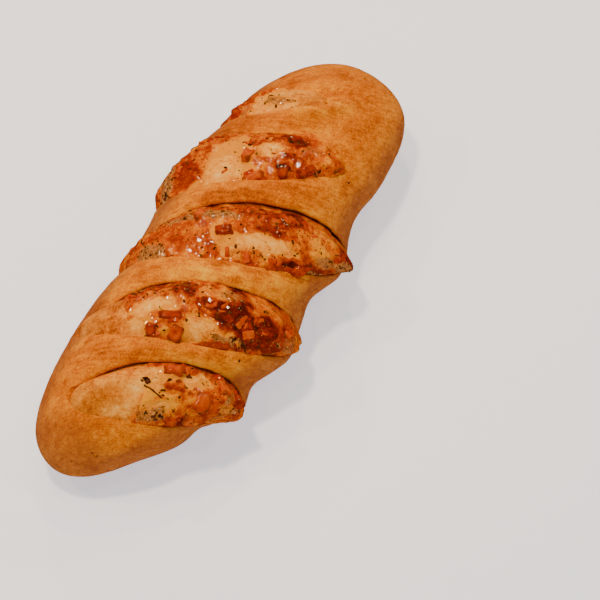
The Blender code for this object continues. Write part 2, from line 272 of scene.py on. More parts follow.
# %% Measures of the loaf
LENGTH = 205 * MM
STATIONS = (-1.0, -0.5, 0.0, 0.5, 1.0)  # shares of the half length, for the two rows below
HALF_WIDTHS = [w * MM for w in (31.0, 35.2, 34.8, 34.6, 31.8)]
SIDEWAYS = [y * MM for y in (5.8, -2.0, 0.2, 6.8, 4.6)]
AXIS_HEIGHT, TIP_AXIS = 23 * MM, 0.65  # at its highest, and the share of that at the tips
RISE, DROP = 27 * MM, 26 * MM  # from the axis to the top and to the rounded underside
HEIGHT_TAPER = 0.9  # the height shrinks towards the tips a little less than the width
TRAY_EDGE = 1.5 * MM  # how softly the sides meet the flat underside
SLICED_OFF = 0.4 * MM
NEAR_BLUNTNESS, FAR_BLUNTNESS = 2.4, 3.4
STRAP_SLANT = -0.30 * MM  # along the roll for each degree of turn
CRUST_THICKNESS = 3.6 * MM
MOUND_SHOULDER, MOUND_ROUNDNESS = 9 * MM, 2.2
OPENS_SOON = 2.5  # a slash is at full depth from 1 / 2.5 of its full opening
CREASE_DEPTH, CREASE_REACH = 1.2 * MM, 0.9 * MM
POINTEDNESS = 2.6  # of a slash's two ends
SHOULDER, SHOULDER_REACH = 1.0 * MM, 6 * MM  # how far a strap's back slopes down to its edge
FULL_SHOULDER_LIP = 0.4  # the share of a full lip from which the shoulder is full
LIP_TAPER = 7 * MM  # over which a thin lip comes back to the strap's full thickness

# %% Places where the loaf swelled, and its five slashes
Swelling = namedtuple("Swelling", "along turn reach turn_reach height")  # millimetres, degrees
SWELLINGS = [Swelling(*row) for row in (
    (13, 76, 11, 34, 4.2), (49, 80, 10, 34, -2.6), (-28, 75, 18, 35, -1.8), (-23, -88, 9, 40, 3.6),
    (-44, -85, 7, 40, -3.2), (1, -88, 8, 40, -2.8), (21, -88, 10, 36, 4), (42, -85, 13, 40, -3),
    (-52, -84, 7, 34, 5), (-64, -104, 6, 28, -3), (-98, -80, 10, 60, -2.6), (17, 0, 8, 45, 1.2),
    (-22, 0, 7, 50, 1.6), (-59, 0, 8, 45, 1.2),
)]
Slash = namedtuple("Slash", "along turn half_turn half_width slant rise far_lip near_lip")
Fade = namedtuple("Fade", "slash is_far turn reach left")  # where a lip fades, and how much is left
SLASHES = [  # from the near end to the far one
    Slash(-66.0 * MM, -45, 72, 13.0 * MM, -0.27 * MM, 1.6 * MM, 0.75, 0.12),
    Slash(-36.0 * MM, -22, 87, 12.0 * MM, -0.30 * MM, 2.0 * MM, 0.5, 0.4),
    Slash(-0.4 * MM, -10, 98, 12.6 * MM, -0.31 * MM, 2.0 * MM, 0.75, 0.45),
    Slash(27.2 * MM, 22, 71, 11.2 * MM, -0.31 * MM, 1.2 * MM, 0.35, 0.4),
    Slash(56.0 * MM, 38, 48, 6.5 * MM, -0.22 * MM, 0.4 * MM, 0.02, 0.4),
]
FADES = [
    Fade(0, False, -75, 20, 3.0), Fade(1, False, 38, 16, 0.2), Fade(1, True, -8, 16, 0.5),
    Fade(2, False, 48, 16, 0.5), Fade(3, True, 52, 20, 0.05), Fade(3, True, -22, 14, 0.5),
    Fade(3, False, -42, 12, 0.4), Fade(4, False, 0, 14, 0.1),
]
PER_DEGREE = math.radians(1) * (RISE + HALF_WIDTHS[2]) / 2  # metres round the roll in one degree
LEAN = PER_DEGREE / math.hypot(PER_DEGREE, STRAP_SLANT)  # of a step across a strap to one along the roll
FILLING_TURNS = (-118.0, 100.0)
FILLING_NEAR_EDGE = {  # millimetres along, at each turn
    -118: -63, -100: -70, -80: -79, -60: -87, -45: -86, -30: -75, -15: -65,
    5: -61, 20: -53, 35: -45, 60: -42, 100: -39,
}
FILLING_FAR_EDGE = {
    -118: 36, -90: 41, -60: 47, -45: 53, -20: 56, 0: 58, 12: 64, 30: 70, 60: 71, 100: 67,
}
print("a strap is", CRUST_THICKNESS / MM, "mm thick; one degree is", round(PER_DEGREE / MM, 3), "mm")


# %% Smooth lines
def through(stations, values, at):
    """A smooth line through values at stations, read at the places `at`."""
    stations = np.asarray(stations, float)
    values = np.asarray(values, float)
    slopes = np.gradient(values, stations)
    at = np.clip(at, stations[0], stations[-1])
    k = np.clip(np.searchsorted(stations, at, side="right") - 1, 0, len(stations) - 2)
    step = stations[k + 1] - stations[k]
    t = (at - stations[k]) / step
    start = values[k] * (1 + 2 * t) * (1 - t) ** 2 + slopes[k] * step * t * (1 - t) ** 2
    end = values[k + 1] * t**2 * (3 - 2 * t) + slopes[k + 1] * step * t**2 * (t - 1)
    return start + end


def ease(value):
    """0 below 0, 1 above 1, and smooth between."""
    t = np.clip(value, 0.0, 1.0)
    return t * t * (3 - 2 * t)


def near(distance):
    """1 at no distance, 0.37 at a distance of 1, and almost nothing at 2."""
    return np.exp(-(distance**2))


# %% Place a point on the loaf
def fullness(share):
    """The loaf's girth at a share of its half length, as a share of its girth in the middle."""
    blunt = np.where(share < 0, NEAR_BLUNTNESS, FAR_BLUNTNESS)
    return (1 - np.clip(np.abs(share), 0, 1) ** blunt) ** (1 / blunt)


def section(share):
    """(fullness, half width, height as a share of the middle's, height of the axis)."""
    full = fullness(share)
    widest = through(STATIONS, HALF_WIDTHS, share)
    axis_height = AXIS_HEIGHT * (TIP_AXIS + (1 - TIP_AXIS) * full)
    return full, widest * full, widest / HALF_WIDTHS[2] * full**HEIGHT_TAPER, axis_height


def swelling(along, turn, swellings=SWELLINGS):
    """How far the bake pushed the loaf out (+) or the straps held it in (-)."""
    height = np.zeros(np.broadcast(along, turn).shape)
    for s in swellings:
        across = along - s.along * MM - STRAP_SLANT * (turn - s.turn)
        away = np.hypot(across / (s.reach * MM), (turn - s.turn) / s.turn_reach)
        height = height + s.height * MM * near(away)
    return height


def place(along, turn, depth):
    """The points at these places, as an array whose last axis is X, Y, Z."""
    along, turn, depth = np.broadcast_arrays(along, turn, depth)
    share = along / (LENGTH / 2)
    full, half_width, scale, axis_z = section(share)
    upwards, sideways = np.cos(np.radians(turn)), np.sin(np.radians(turn))
    out_y = half_width * sideways
    out_z = np.where(upwards > 0, RISE, DROP) * scale * upwards
    radius = np.hypot(out_y, out_z) + 1e-9
    grown = 1 + (swelling(along, turn) * full - depth) / radius
    z = axis_z + out_z * grown
    rounded = np.where(z > TRAY_EDGE, z, (z + TRAY_EDGE) ** 2 / (4 * TRAY_EDGE))
    flattened = np.where(z < -TRAY_EDGE, 0.0, rounded) - SLICED_OFF
    y = through(STATIONS, SIDEWAYS, share) + out_y * grown
    return np.stack([along, y, np.maximum(flattened, 0.0)], -1)


def place_of(points):
    """(along, turn) of points on the roll: the way back from `place`."""
    x, y, z = np.moveaxis(np.asarray(points), -1, 0)
    share = x / (LENGTH / 2)
    _, half_width, scale, axis_z = section(share)
    sideways = (y - through(STATIONS, SIDEWAYS, share)) / half_width
    upwards = (z - axis_z) / (RISE * scale)
    return x, np.degrees(np.arctan2(sideways, upwards))


# %% Slashes and the mounds in them
def lean_of(slash):
    """How much shorter a step across the slanted slash is than the same step along the roll."""
    return PER_DEGREE / math.hypot(PER_DEGREE, slash.slant)


def lip_share(slash, is_far, turn):
    """How much of a strap's full thickness stands at this edge of the slash, at each turn."""
    share = (slash.far_lip if is_far else slash.near_lip) + 0.0 * turn
    for fade in FADES:
        if SLASHES[fade.slash] == slash and fade.is_far == is_far:
            share = share * (1 - (1 - fade.left) * near((turn - fade.turn) / fade.reach))
    return share


def in_slash(slash, along, turn):
    """(how far outside the slash a place is, how open the slash is at its turn, its lip there)."""
    end = (turn - slash.turn) / slash.half_turn
    opened = np.clip(1 - np.abs(end) ** POINTEDNESS, 0, 1)
    across = (along - slash.along - slash.slant * (turn - slash.turn)) * lean_of(slash)
    past = np.clip(np.abs(end) - 1, 0, None) * slash.half_turn * PER_DEGREE
    outside = np.hypot(across, past) - slash.half_width * opened
    farness = ease(0.5 + across / (slash.half_width + 1e-6))
    near_lip, far_lip = (lip_share(slash, is_far, turn) for is_far in (False, True))
    return outside, opened, near_lip + (far_lip - near_lip) * farness


def mound(slash, outside, opened):
    """How far the dough rolled up inside rises through the slash: 0 at its edge, 1 in its middle."""
    reach = np.minimum(MOUND_SHOULDER, slash.half_width * opened) + 1e-6
    inwards = np.clip(-outside / reach, 0, 1)
    return (1 - (1 - inwards) ** MOUND_ROUNDNESS) * ease(opened * OPENS_SOON)


def shoulder(outside, opened, lip):
    """How far the straps' rounded shoulders slope down to a slash's edge."""
    near_edge = np.clip(1 - outside / SHOULDER_REACH, 0, 1) ** 2
    fully = np.clip(lip / FULL_SHOULDER_LIP, 0, 1) * ease(opened * OPENS_SOON)
    return SHOULDER * near_edge * fully


def shoulders(along, turn):
    """The deepest of the slashes' shoulders at each place."""
    return np.max([shoulder(*in_slash(slash, along, turn)) for slash in SLASHES], axis=0)


def painted_crease_shade(along, turn):
    """Painted shade: 1 in the crease along a full lip, falling to 0 a millimetre or two away from it."""
    shades = []
    for slash in SLASHES:
        outside, opened, lip = in_slash(slash, along, turn)
        shades.append(near(outside / CREASE_REACH) * np.clip(lip, 0, 1) * ease(opened * 3))
    return np.max(shades, axis=0)


def layer_depth(along, turn):
    """Depth of the filling's upper face: under the straps, and up over each mound."""
    depth = np.full(np.broadcast(along, turn).shape, CRUST_THICKNESS)
    for slash in SLASHES:
        outside, opened, lip = in_slash(slash, along, turn)
        under_strap = lip + (1 - lip) * ease(outside / LIP_TAPER)
        edge_depth = CRUST_THICKNESS * under_strap + shoulder(np.maximum(outside, 0), opened, lip)
        depth = np.minimum(depth, edge_depth - (edge_depth + slash.rise) * mound(slash, outside, opened))
    return depth


# %% [markdown]
# ## Unevenness
#
# Dough, cheese and ham are uneven at every size. A lattice of seeded random values, read smoothly
# between its points, gives lumps of any size at any point, and the same ones on every run.

# %% Seeded lumps
LATTICE = 32


def lumps(points, size, seed):
    """Smooth random values from -1 to 1 at these points; `size` is a lump's width in metres."""
    values = np.random.default_rng(seed).uniform(-1, 1, (LATTICE,) * 3)
    cell = np.asarray(points) / size
    base = np.floor(cell).astype(int)
    t = cell - base
    t = t * t * (3 - 2 * t)
    total = np.zeros(cell.shape[:-1])
    for corner in itertools.product((0, 1), repeat=3):
        weight = np.prod(np.where(corner, t, 1 - t), axis=-1)
        i, j, k = np.moveaxis((base + corner) % LATTICE, -1, 0)
        total += weight * values[i, j, k]
    return total


def rough(points, heights, seed, step=1):
    """Metres of lumps of several sizes, from {width: height} in millimetres. Each has its own seed."""
    sizes = enumerate(heights.items())
    return sum(high * MM * lumps(points, wide * MM, seed + step * k) for k, (wide, high) in sizes)


def unrolled(along, turn):
    """A place on the roll as a point on flat dough: along, round the roll, 0."""
    along, turn = np.broadcast_arrays(along, turn)
    return np.stack([along, turn * PER_DEGREE, np.zeros(along.shape)], -1)


# %% [markdown]
# ## From a ball to a loaf
#
# A UV sphere already is what a loaf needs: rings of vertices between two poles, closed and with
# its faces outwards. Each ring and column is moved to its own place on the loaf. The rings follow
# the slashes, several round each lip, so a lip is a clean edge and the straps get the most faces.
# A subdivided box would need many more faces to show so thin an edge.


# %% Helpers for meshes
def object_of(bm, name, crisp_above=180):
    """A new object on the roll's one body. It is smooth, but for edges of over so many degrees."""
    mesh = bpy.data.meshes.new(name)
    bm.to_mesh(mesh)
    bm.free()
    mesh.shade_smooth()
    if crisp_above < 180:
        mesh.set_sharp_from_angle(angle=math.radians(crisp_above))
    obj = bpy.data.objects.new(name, mesh)
    bpy.context.scene.collection.objects.link(obj)
    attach(obj, "root")
    return obj


def add_values(obj, values):
    """Stores one number, or one vector, per vertex under each name, for the material to read."""
    for name, numbers in values.items():
        numbers = np.asarray(numbers, np.float32)
        count = len(obj.data.vertices)
        kind, field = ("FLOAT", "value") if numbers.size == count else ("FLOAT_VECTOR", "vector")
        layer = obj.data.attributes.new(name, kind, "POINT")
        layer.data.foreach_set(field, numbers.ravel())


def ball_of(name, positions, values):
    """A UV sphere whose vertices take positions[ring, column]. The outermost rings are its poles."""
    rings, columns = positions.shape[:2]
    bm = bmesh.new()
    bmesh.ops.create_uvsphere(bm, u_segments=columns, v_segments=rings - 1, radius=1.0)
    bmesh.ops.rotate(bm, verts=bm.verts, matrix=Matrix.Rotation(math.radians(90), 3, "Y"))
    co = np.array([v.co for v in bm.verts])
    ring = np.rint(np.arccos(np.clip(-co[:, 0], -1, 1)) / math.pi * (rings - 1)).astype(int)
    round_share = np.arctan2(co[:, 1], co[:, 2]) / (2 * math.pi) + 0.5
    column = np.rint(round_share * columns).astype(int) % columns
    obj = object_of(bm, name)
    obj.data.vertices.foreach_set("co", positions[ring, column].astype(np.float32).ravel())
    add_values(obj, {key: value[ring, column] for key, value in values.items()})
    obj.data.update()
    return obj


def tell(obj):
    """Prints what was made."""
    obj.data.calc_loop_triangles()
    low, high = np.array(obj.bound_box).min(0) / MM, np.array(obj.bound_box).max(0) / MM
    print(obj.name, len(obj.data.loop_triangles), "triangles", np.round(high - low, 1), "mm")


# %% [markdown]
# ## Patches
#
# The oven browned the roll in some places and left it pale in others, and the cheese ran where it
# would. One noise pattern could not put those places where this roll has them. Each is a patch
# instead: where it is, how far it reaches across the straps and along them, and how strong it is.
# Noise bends the outlines, so that no patch ends in an oval.
#
# The places were picked on the photograph, then carried onto the loaf and rounded, and some were
# later changed. A helper script carried those picks onto the loaf and rounded them, and some were
# then changed by hand.

# %% Patches
Patch = namedtuple("Patch", "along turn reach span amount")  # mm, degrees, mm across, mm along, 0 to 1
BENT_BY = {6: 1.8, 2.2: 1.2}  # millimetres that outlines stray, over lumps of each width
BEND_SEEDS = {"filling": 70, "dough": 80, "spills": 88, "browned": 90, "pale": 95}


def strap_frame(along, turn):
    """Metres across the straps and metres along them, because the straps cross the roll on a slant."""
    return (along - STRAP_SLANT * turn) * LEAN, turn * PER_DEGREE / LEAN


def drawn_out(along, turn, share):
    """Points on flat dough where a step along a strap counts for less, which draws patterns out."""
    across, down = strap_frame(along, turn)
    return np.stack([across, down * share, 0 * across], -1)


def bent(along, turn, what):
    """The same places, moved a little this way and that."""
    flat, seed = unrolled(along, turn), BEND_SEEDS[what]
    sideways, down = (rough(flat, BENT_BY, seed + k, step=2) for k in (0, 1))
    return along + sideways, turn + down / PER_DEGREE


def patched(patches, along, turn, softness=0.5):
    """The strength of the strongest patch at each place."""
    strength = np.zeros(np.broadcast(along, turn).shape)
    across, down = strap_frame(along, turn)
    for p in patches:
        mid_across, mid_down = strap_frame(p.along * MM, p.turn)
        away = np.hypot((across - mid_across) / (p.reach * MM), (down - mid_down) / (p.span * MM))
        strength = np.maximum(strength, p.amount * ease((1 - away) / softness + 0.5))
    return strength


# %% [markdown]
# ## The outer crust
#
# The outer dough is one skin with five slashes through it. At each lip the skin rolls under in a
# round nose, runs a little way back below the strap, and crosses under the filled dough to the
# other lip. So each strap is a real ribbon, with an edge that stands over the crease. Cutting the
# slashes out of a finished loaf would leave sharp, straight walls that no oven makes.

# %% Where the rings of the crust go
NOSE = 1.35 * MM  # radius of a full strap's rounded edge
NOSE_ANGLES = np.radians([90, 70, 50, 30, 8, -14, -38, -64, -90])
TUCKED = 2.2 * MM  # how far the skin runs back below a strap
PIT_BELOW = 3.2 * MM  # how far below a strap's edge the skin crosses
SHUT_HALF = 2.0 * MM  # half the room that a slash's rings keep where it is shut
LEAST_REACH = 0.6 * MM  # how far apart a nose's rings stay even where the lip is thin
STRAP_RINGS, NEAR_CAP_RINGS, FAR_CAP_RINGS = 24, 40, 62
CRUST_COLUMNS = 276
TOP_TURN = 118  # degrees down each side that the denser columns reach
UNDERSIDE_SHARE = 0.22  # of the columns
RESTS = (-66, -34, -2, 24, 50)  # millimetres along, of each shut slash's rings under the roll
LIP_STRAYS = {9: 0.45, 3: 0.225}  # millimetres that a hand-cut lip strays, over lumps of each width
LIP_SEEDS = (20, 30, 40, 50, 60)  # for each slash's near lip; its far lip's seed is 5 more


def column_turns(count):
    """Turns of the columns, from -180 up: dense on top, sparse on the hidden underside."""
    low_count = int(count * UNDERSIDE_SHARE)
    top = np.linspace(-TOP_TURN, TOP_TURN, count - low_count + 1)
    under = np.linspace(TOP_TURN, 360 - TOP_TURN, low_count + 1)[1:-1]
    return np.sort(np.concatenate([top, (under + 180) % 360 - 180]))


def slash_line(slash, rest, turn):
    """(centre, half opening, how open), at each turn. Far from the slash its rings settle at `rest`."""
    side = np.where(turn > slash.turn, 1, -1)
    past_end = side * (turn - slash.turn) - slash.half_turn
    settled = ease(past_end / (180 - side * slash.turn - slash.half_turn))
    slanted = slash.along + slash.slant * (turn - slash.turn)
    opened = np.clip(1 - (np.abs(turn - slash.turn) / slash.half_turn) ** POINTEDNESS, 0, 1)
    half = ((slash.half_width * opened) ** 4 + SHUT_HALF**4) ** 0.25 / lean_of(slash)
    return slanted + settled * (rest * MM - slanted), half, opened


def lip_rings(slash, side, turns, line, seed):
    """(along, depth, lip) of the rings from a strap's edge to the slash's middle. Lip is 1 on the nose."""
    centre, half, opened = line
    share = lip_share(slash, side > 0, turns)
    is_open, crease = ease(opened * 3), CREASE_DEPTH * ease(opened * 6) * share
    radius = NOSE * share * ease(opened * 2.2)
    reach = np.maximum(radius, LEAST_REACH)
    half_across = half * lean_of(slash)
    on_a_line = np.stack([turns * PER_DEGREE, 0 * turns, 0 * turns], -1)
    edge = half + ease(opened * 3) * rough(on_a_line, LIP_STRAYS, seed)
    inner = half_across - reach
    rings = [  # (steps out and down where the slash is open, steps out where it is shut, lip)
        (reach * (1 - math.cos(a)), radius * (1 - math.sin(a)), reach * math.sin(a), math.cos(a) ** 0.5)
        for a in NOSE_ANGLES
    ] + [
        (TUCKED, 2 * radius + 0.5 * MM, -reach - 0.15 * inner, 0.0),
        (0.6 * TUCKED, 2 * radius + PIT_BELOW, -reach - 0.4 * inner, 0.0),
        (-0.3 * half_across, 2 * radius + PIT_BELOW, -reach - 0.7 * inner, 0.0),
    ]
    placed = []
    for out_open, depth_open, out_shut, lip in rings:
        out = is_open * out_open + (1 - is_open) * out_shut
        shut_depth = crease * ease(1.2 - np.abs(1 + out / half_across))
        depth = is_open * depth_open + (1 - is_open) * shut_depth
        placed.append((centre + side * (edge + out / lean_of(slash)), depth, lip * is_open * share))
    return placed


def cap_rings(side, lip_along, count):
    """Rings spread evenly over a bulging end, from the lip nearest to it to its tip."""
    distance = np.linspace(0, LENGTH / 2, 900)  # from the tip
    height = RISE * fullness(side * (1 - distance / (LENGTH / 2)))
    arc = np.concatenate([[0], np.cumsum(np.hypot(np.diff(distance), np.diff(height)))])
    lip_arc = np.interp(LENGTH / 2 - side * lip_along, distance, arc)
    shares = np.arange(count, 0, -1) / (count + 1)
    return [side * (LENGTH / 2 - np.interp(s * lip_arc, arc, distance)) for s in shares]


def crust_rings(turns):
    """(along, depth, lip) of every ring of the crust, from tip to tip, at each column's turn."""
    flat = 0 * turns
    rings = []
    for slash, rest, seed in zip(SLASHES, RESTS, LIP_SEEDS):
        line = slash_line(slash, rest, turns)
        near_lip = lip_rings(slash, -1, turns, line, seed)
        far_lip = lip_rings(slash, 1, turns, line, seed + 5)
        if not rings:
            rings = [(a, flat, flat) for a in cap_rings(-1, near_lip[0][0], NEAR_CAP_RINGS)[::-1]]
        else:
            start, end = rings[-1][0], near_lip[0][0]
            steps = np.arange(1, STRAP_RINGS + 1) / (STRAP_RINGS + 1)
            rings += [(start + (end - start) * s, flat, flat) for s in steps]
        middle = (line[0], (near_lip[-1][1] + far_lip[-1][1]) / 2, flat)
        rings += near_lip + [middle] + far_lip[::-1]
    rings += [(a, flat, flat) for a in cap_rings(1, rings[-1][0], FAR_CAP_RINGS)]
    tips = [(flat + side * LENGTH / 2, flat, flat) for side in (-1, 1)]
    return [tips[0]] + rings + [tips[1]]


crust_turns = column_turns(CRUST_COLUMNS)
along, depth, lip = (np.stack(rows) for rows in zip(*crust_rings(crust_turns)))
turn = np.broadcast_to(crust_turns, along.shape)
least_step = np.diff(along, axis=0)[depth[1:] < 0.1 * MM].min() / MM
print(along.shape, "rings and columns, never less than", round(least_step, 3), "mm apart")

# %% Relief of the crust
# Melted cheese ran out over the crust in a few places.
SPILLS = [Patch(*row) for row in (
    (47, -38, 4.3, 4.6, 1), (51, -38, 2.9, 0.9, 0.8), (31, 32, 6.2, 7.7, 0.8), (29, 47, 2.2, 4.5, 0.7),
    (0, 26, 2.1, 5, 0.5), (-56, 27, 5.1, 1.9, 0.5),
)]
SPILL_HEIGHT = 0.45 * MM
# The last strap runs out in a soft ridge over the far end, between two shallow hollows.
RIDGES = [Swelling(*row) for row in (
    (57, 2, 3.2, 10, 2), (61.5, -6, 3.2, 9, 2.2), (67, -12.5, 3.2, 8, 2.1), (73, -17, 4, 8, 1.5),
    (53, -12, 4, 16, -2), (70, 2, 4, 14, -1.9), (49, -38, 6, 18, -0.7), (76, 14, 6, 24, 0.7),
)]
CRUST_LUMPS = {15: 0.30, 6: 0.14, 2.2: 0.05}  # millimetres high, for each width in millimetres
STRETCH_MARKS = {1.3: 0.07}
STRAP_GRAIN, DOUGH_GRAIN = 0.12, 0.25  # how much a step along a strap counts in its streaks


def spilled(along, turn):
    """1 where cheese ran out over the crust."""
    return patched(SPILLS, *bent(along, turn, "spills"), softness=0.8)


def crust_relief(along, turn):
    """How far the baked skin stands above the smooth loaf: swells, dimples and fine stretch marks."""
    smooth = place(along, turn, np.zeros(np.shape(along)))
    height = rough(smooth, CRUST_LUMPS, 1) + rough(drawn_out(along, turn, STRAP_GRAIN), STRETCH_MARKS, 4)
    height = height * ease(fullness(along / (LENGTH / 2)) * 1.6) + swelling(along, turn, RIDGES)
    return height + spilled(along, turn) * SPILL_HEIGHT * (1 + 0.6 * lumps(smooth, 1.8 * MM, 5))


relief = crust_relief(along, turn)
print("relief", np.round(relief.min() / MM, 2), "to", np.round(relief.max() / MM, 2), "mm")

# %% How the crust is baked
BROWNED_CRUST = [Patch(*row) for row in (
    (12, 3, 2.5, 20.8, 0.7), (24, -22, 2.8, 11, 0.7), (42, 37, 3.7, 12.3, 0.9), (36, 50, 7.1, 6.2, 0.7),
    (66, -4, 2.5, 8.6, 0.3), (76, -4, 4.9, 8.4, 0.5), (68, 28, 4.4, 7.9, 0.7), (-66, 4, 2.6, 10.6, 0.3),
    (-53, -32, 2.1, 6.3, 0.3), (-48, -57, 1.8, 8.7, 0.1), (-32, 24, 1.8, 6.6, 0.6),
    (-11, -50, 1.8, 12.5, 0.6), (-90, -18, 3.9, 9.3, 0.6), (-98, 2, 5.4, 5.7, 0.5),
    (-67, 35, 5.1, 2.6, 0.5), (61, -37, 9.8, 6.7, 0.35), (69, -16, 2.3, 4.9, 0.3), (59, -3, 1.6, 5, 0.2),
    (54, -3, 2, 7.8, 0.5), (84, -2, 4.4, 8.2, 0.35),
)]
PALE_CRUST = [Patch(*row) for row in (
    (54, -12, 3.8, 6.5, 0.4), (74, 10, 4.9, 6.8, 0.7), (-27, 1, 1.4, 11.1, 0.8), (-16, -31, 1.4, 7.3, 0.6),
    (41, -42, 3.4, 5, 0.5), (-40, 56, 5, 6.4, 0.5), (-21, -11, 2.6, 18.7, 1), (-7, -57, 3.3, 20.1, 0.9),
    (-51, -44, 2.3, 13.9, 0.8), (70, -3, 3.5, 6.7, 0.8), (57, -17, 3.8, 5.1, 0.4),
    (-30, 111, 4.9, 4.2, 0.4), (57, -15, 4.3, 8, 0.3), (58, 1, 1.6, 5, 0.6), (62, -7, 1.6, 5, 0.7),
    (67, -13, 1.8, 5, 0.7),
)]
CRUST_SOFTNESS = 1.4  # the oven's patches fade over more than their own reach
BOW_TURN = -4  # the bow's highest line, in degrees
LEFT_SOONER, RIGHT_LATER = 1.15, 0.92  # how fast each side turns to tan
TAN_FROM, TAN_OVER = 42, 32  # degrees
NEAR_TAN_FROM, NEAR_TAN_OVER = -84 * MM, 14 * MM
FAR_TAN_FROM, FAR_TAN_OVER = 90 * MM, 10 * MM

# The crust turns a darker, duller tan towards its low sides, sooner on the +Y side, and towards both ends.
side_turn = np.where(turn > BOW_TURN, LEFT_SOONER, -RIGHT_LATER) * (turn - BOW_TURN)
tans = [
    ease((side_turn - TAN_FROM) / TAN_OVER),
    0.8 * ease((NEAR_TAN_FROM - along) / NEAR_TAN_OVER),
    0.6 * ease((along - FAR_TAN_FROM) / FAR_TAN_OVER),
]
crust_values = {
    "browned": patched(BROWNED_CRUST, *bent(along, turn, "browned"), softness=CRUST_SOFTNESS),
    "pale": patched(PALE_CRUST, *bent(along, turn, "pale"), softness=CRUST_SOFTNESS),
    "lip": lip,
    "low_side": np.max(tans, axis=0),
    # painted shade: darkens the skin where it runs down into a slash
    "crease": ease(depth / (3.2 * MM)),
    "spill": spilled(along, turn),
    "grain": drawn_out(along, turn, STRAP_GRAIN),
}
print("browned over", round(100 * float(np.mean(crust_values["browned"] > 0.5))), "% of the rings")

# %% Make the crust
on_top = ease(1 - depth / (3 * MM))
sunk = np.minimum(shoulders(along, turn), SHOULDER)
bread_crust = ball_of("bread_crust", place(along, turn, depth + sunk - relief * on_top), crust_values)
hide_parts("bread")
tell(bread_crust)

# %% [markdown]
# ## The dough rolled up inside
#
# Under the straps lies the rest of the dough. It rose through each slash into a low cushion. It is
# a ball of its own, a little smaller than the loaf, and shows only through the slashes. A cushion
# for each slash would be lighter, but one ball has no ends that could show.

# %% Where the filling shows
BARE_DOUGH = [Patch(*row) for row in (
    (58, 16, 1.9, 6.7, 0.9), (20, 24, 12.3, 8.3, 1), (36, 2, 4.4, 5.4, 1), (23, 8, 2.5, 5, 0.9),
    (12, 41, 1.8, 3.4, 0.6), (-7, -13, 3.3, 7.4, 0.8), (0, -27, 3.1, 10.6, 1), (-6, 2, 3.5, 2.1, 0.7),
    (1, 6, 1.4, 3.5, 0.4), (-45, 4, 4.1, 8.1, 1), (-55, 9, 3.8, 4.7, 1), (-42, -26, 4.1, 6.6, 1),
    (-49, -18, 1.1, 5.4, 0.8), (-37, -44, 2.1, 5.9, 0.6), (-72, -22, 6.8, 10.2, 1),
    (-58, -45, 3.6, 8.6, 0.9), (-80, -24, 5.9, 8, 1), (-85, -4, 10.6, 10.5, 1), (-88, -35, 3.9, 9.8, 1),
    (-73, -47, 3, 6.1, 0.7), (-57, 42, 6.6, 4.3, 0.8), (-54, -71, 1.8, 2.2, 0.6), (62, 6, 5.2, 12.7, 1),
    (57, 26, 5.5, 9, 1), (66, 21, 4.5, 7, 1), (-2, -24, 3.2, 9.8, 1),
)]
# Near the right ends of the slashes, some of these browned patches also paint the shade under the straps.
BROWNED_CHEESE = [Patch(*row) for row in (
    (14, 49, 4.2, 5.4, 0.4), (30, 42, 3, 6, 0.35), (42, -3, 3.1, 7.9, 0.8), (30, -11, 1.6, 3.3, 1),
    (38, -27, 1.2, 4.9, 0.8), (36, -14, 2, 3.3, 0.6), (10, -22, 3, 13.7, 0.6), (8, -11, 2, 7, 0.9),
    (15, -32, 2.9, 6.3, 0.9), (5, -23, 1.6, 4.3, 0.7), (-12, -31, 2.4, 9.5, 0.9), (1, -53, 1.9, 8.7, 0.9),
    (-16, -12, 3.7, 2.6, 0.7), (-33, -4, 2.8, 4.8, 0.9), (-33, -17, 2.3, 3.3, 0.7), (-31, -37, 4.9, 7.1, 1),
    (-28, -52, 6, 5.9, 0.85), (-30, -28, 2.7, 6.9, 1), (-36, -51, 2.3, 6.3, 0.8), (-41, 30, 1.1, 2.9, 0.5),
    (-63, -40, 1.9, 2.4, 0.9), (-63, -64, 1.9, 3.9, 0.3), (-70, -67, 1.7, 5.9, 0.7),
    (-20, -71, 4.4, 5.7, 0.45), (24, -87, 3.6, 14.1, 0.6), (-24, -32, 4, 5, 0.9), (-29, -65, 2.9, 6, 0.7),
    (7, -63, 2, 6.2, 0.6), (47, -39, 3.4, 3.6, 0.3),
)]
PASTE = [Patch(*row) for row in (
    (60, 20, 2.1, 6.7, 0.9), (45, 44, 6.2, 2.6, 0.6), (8, 66, 4.7, 3.2, 1), (19, 62, 5.2, 2.6, 0.7),
    (32, 48, 2.2, 3.3, 0.6), (46, -20, 2.6, 3.4, 0.4), (38, -29, 0.8, 5.5, 0.6), (-2, 11, 2.7, 9.2, 1),
    (-25, 35, 3.4, 5.2, 1), (-32, 33, 5.1, 3.1, 0.8), (-9, 29, 2.8, 5.5, 0.7), (6, -68, 1.6, 10.7, 0.9),
    (18, -81, 2.9, 17.4, 0.8), (-7, -17, 1.5, 3.4, 0.35), (-42, 27, 3.3, 5.2, 0.9),
    (-38, -44, 1.9, 5.8, 0.9), (-22, -75, 4, 5.5, 0.6), (-25, -26, 1.7, 5.5, 0.6),
    (-76, -48, 1.8, 7.5, 0.8), (-57, -50, 2.4, 3.9, 0.4), (-52, -73, 2.9, 4.5, 0.7),
    (-56, -79, 1.9, 6.2, 0.6),
)]
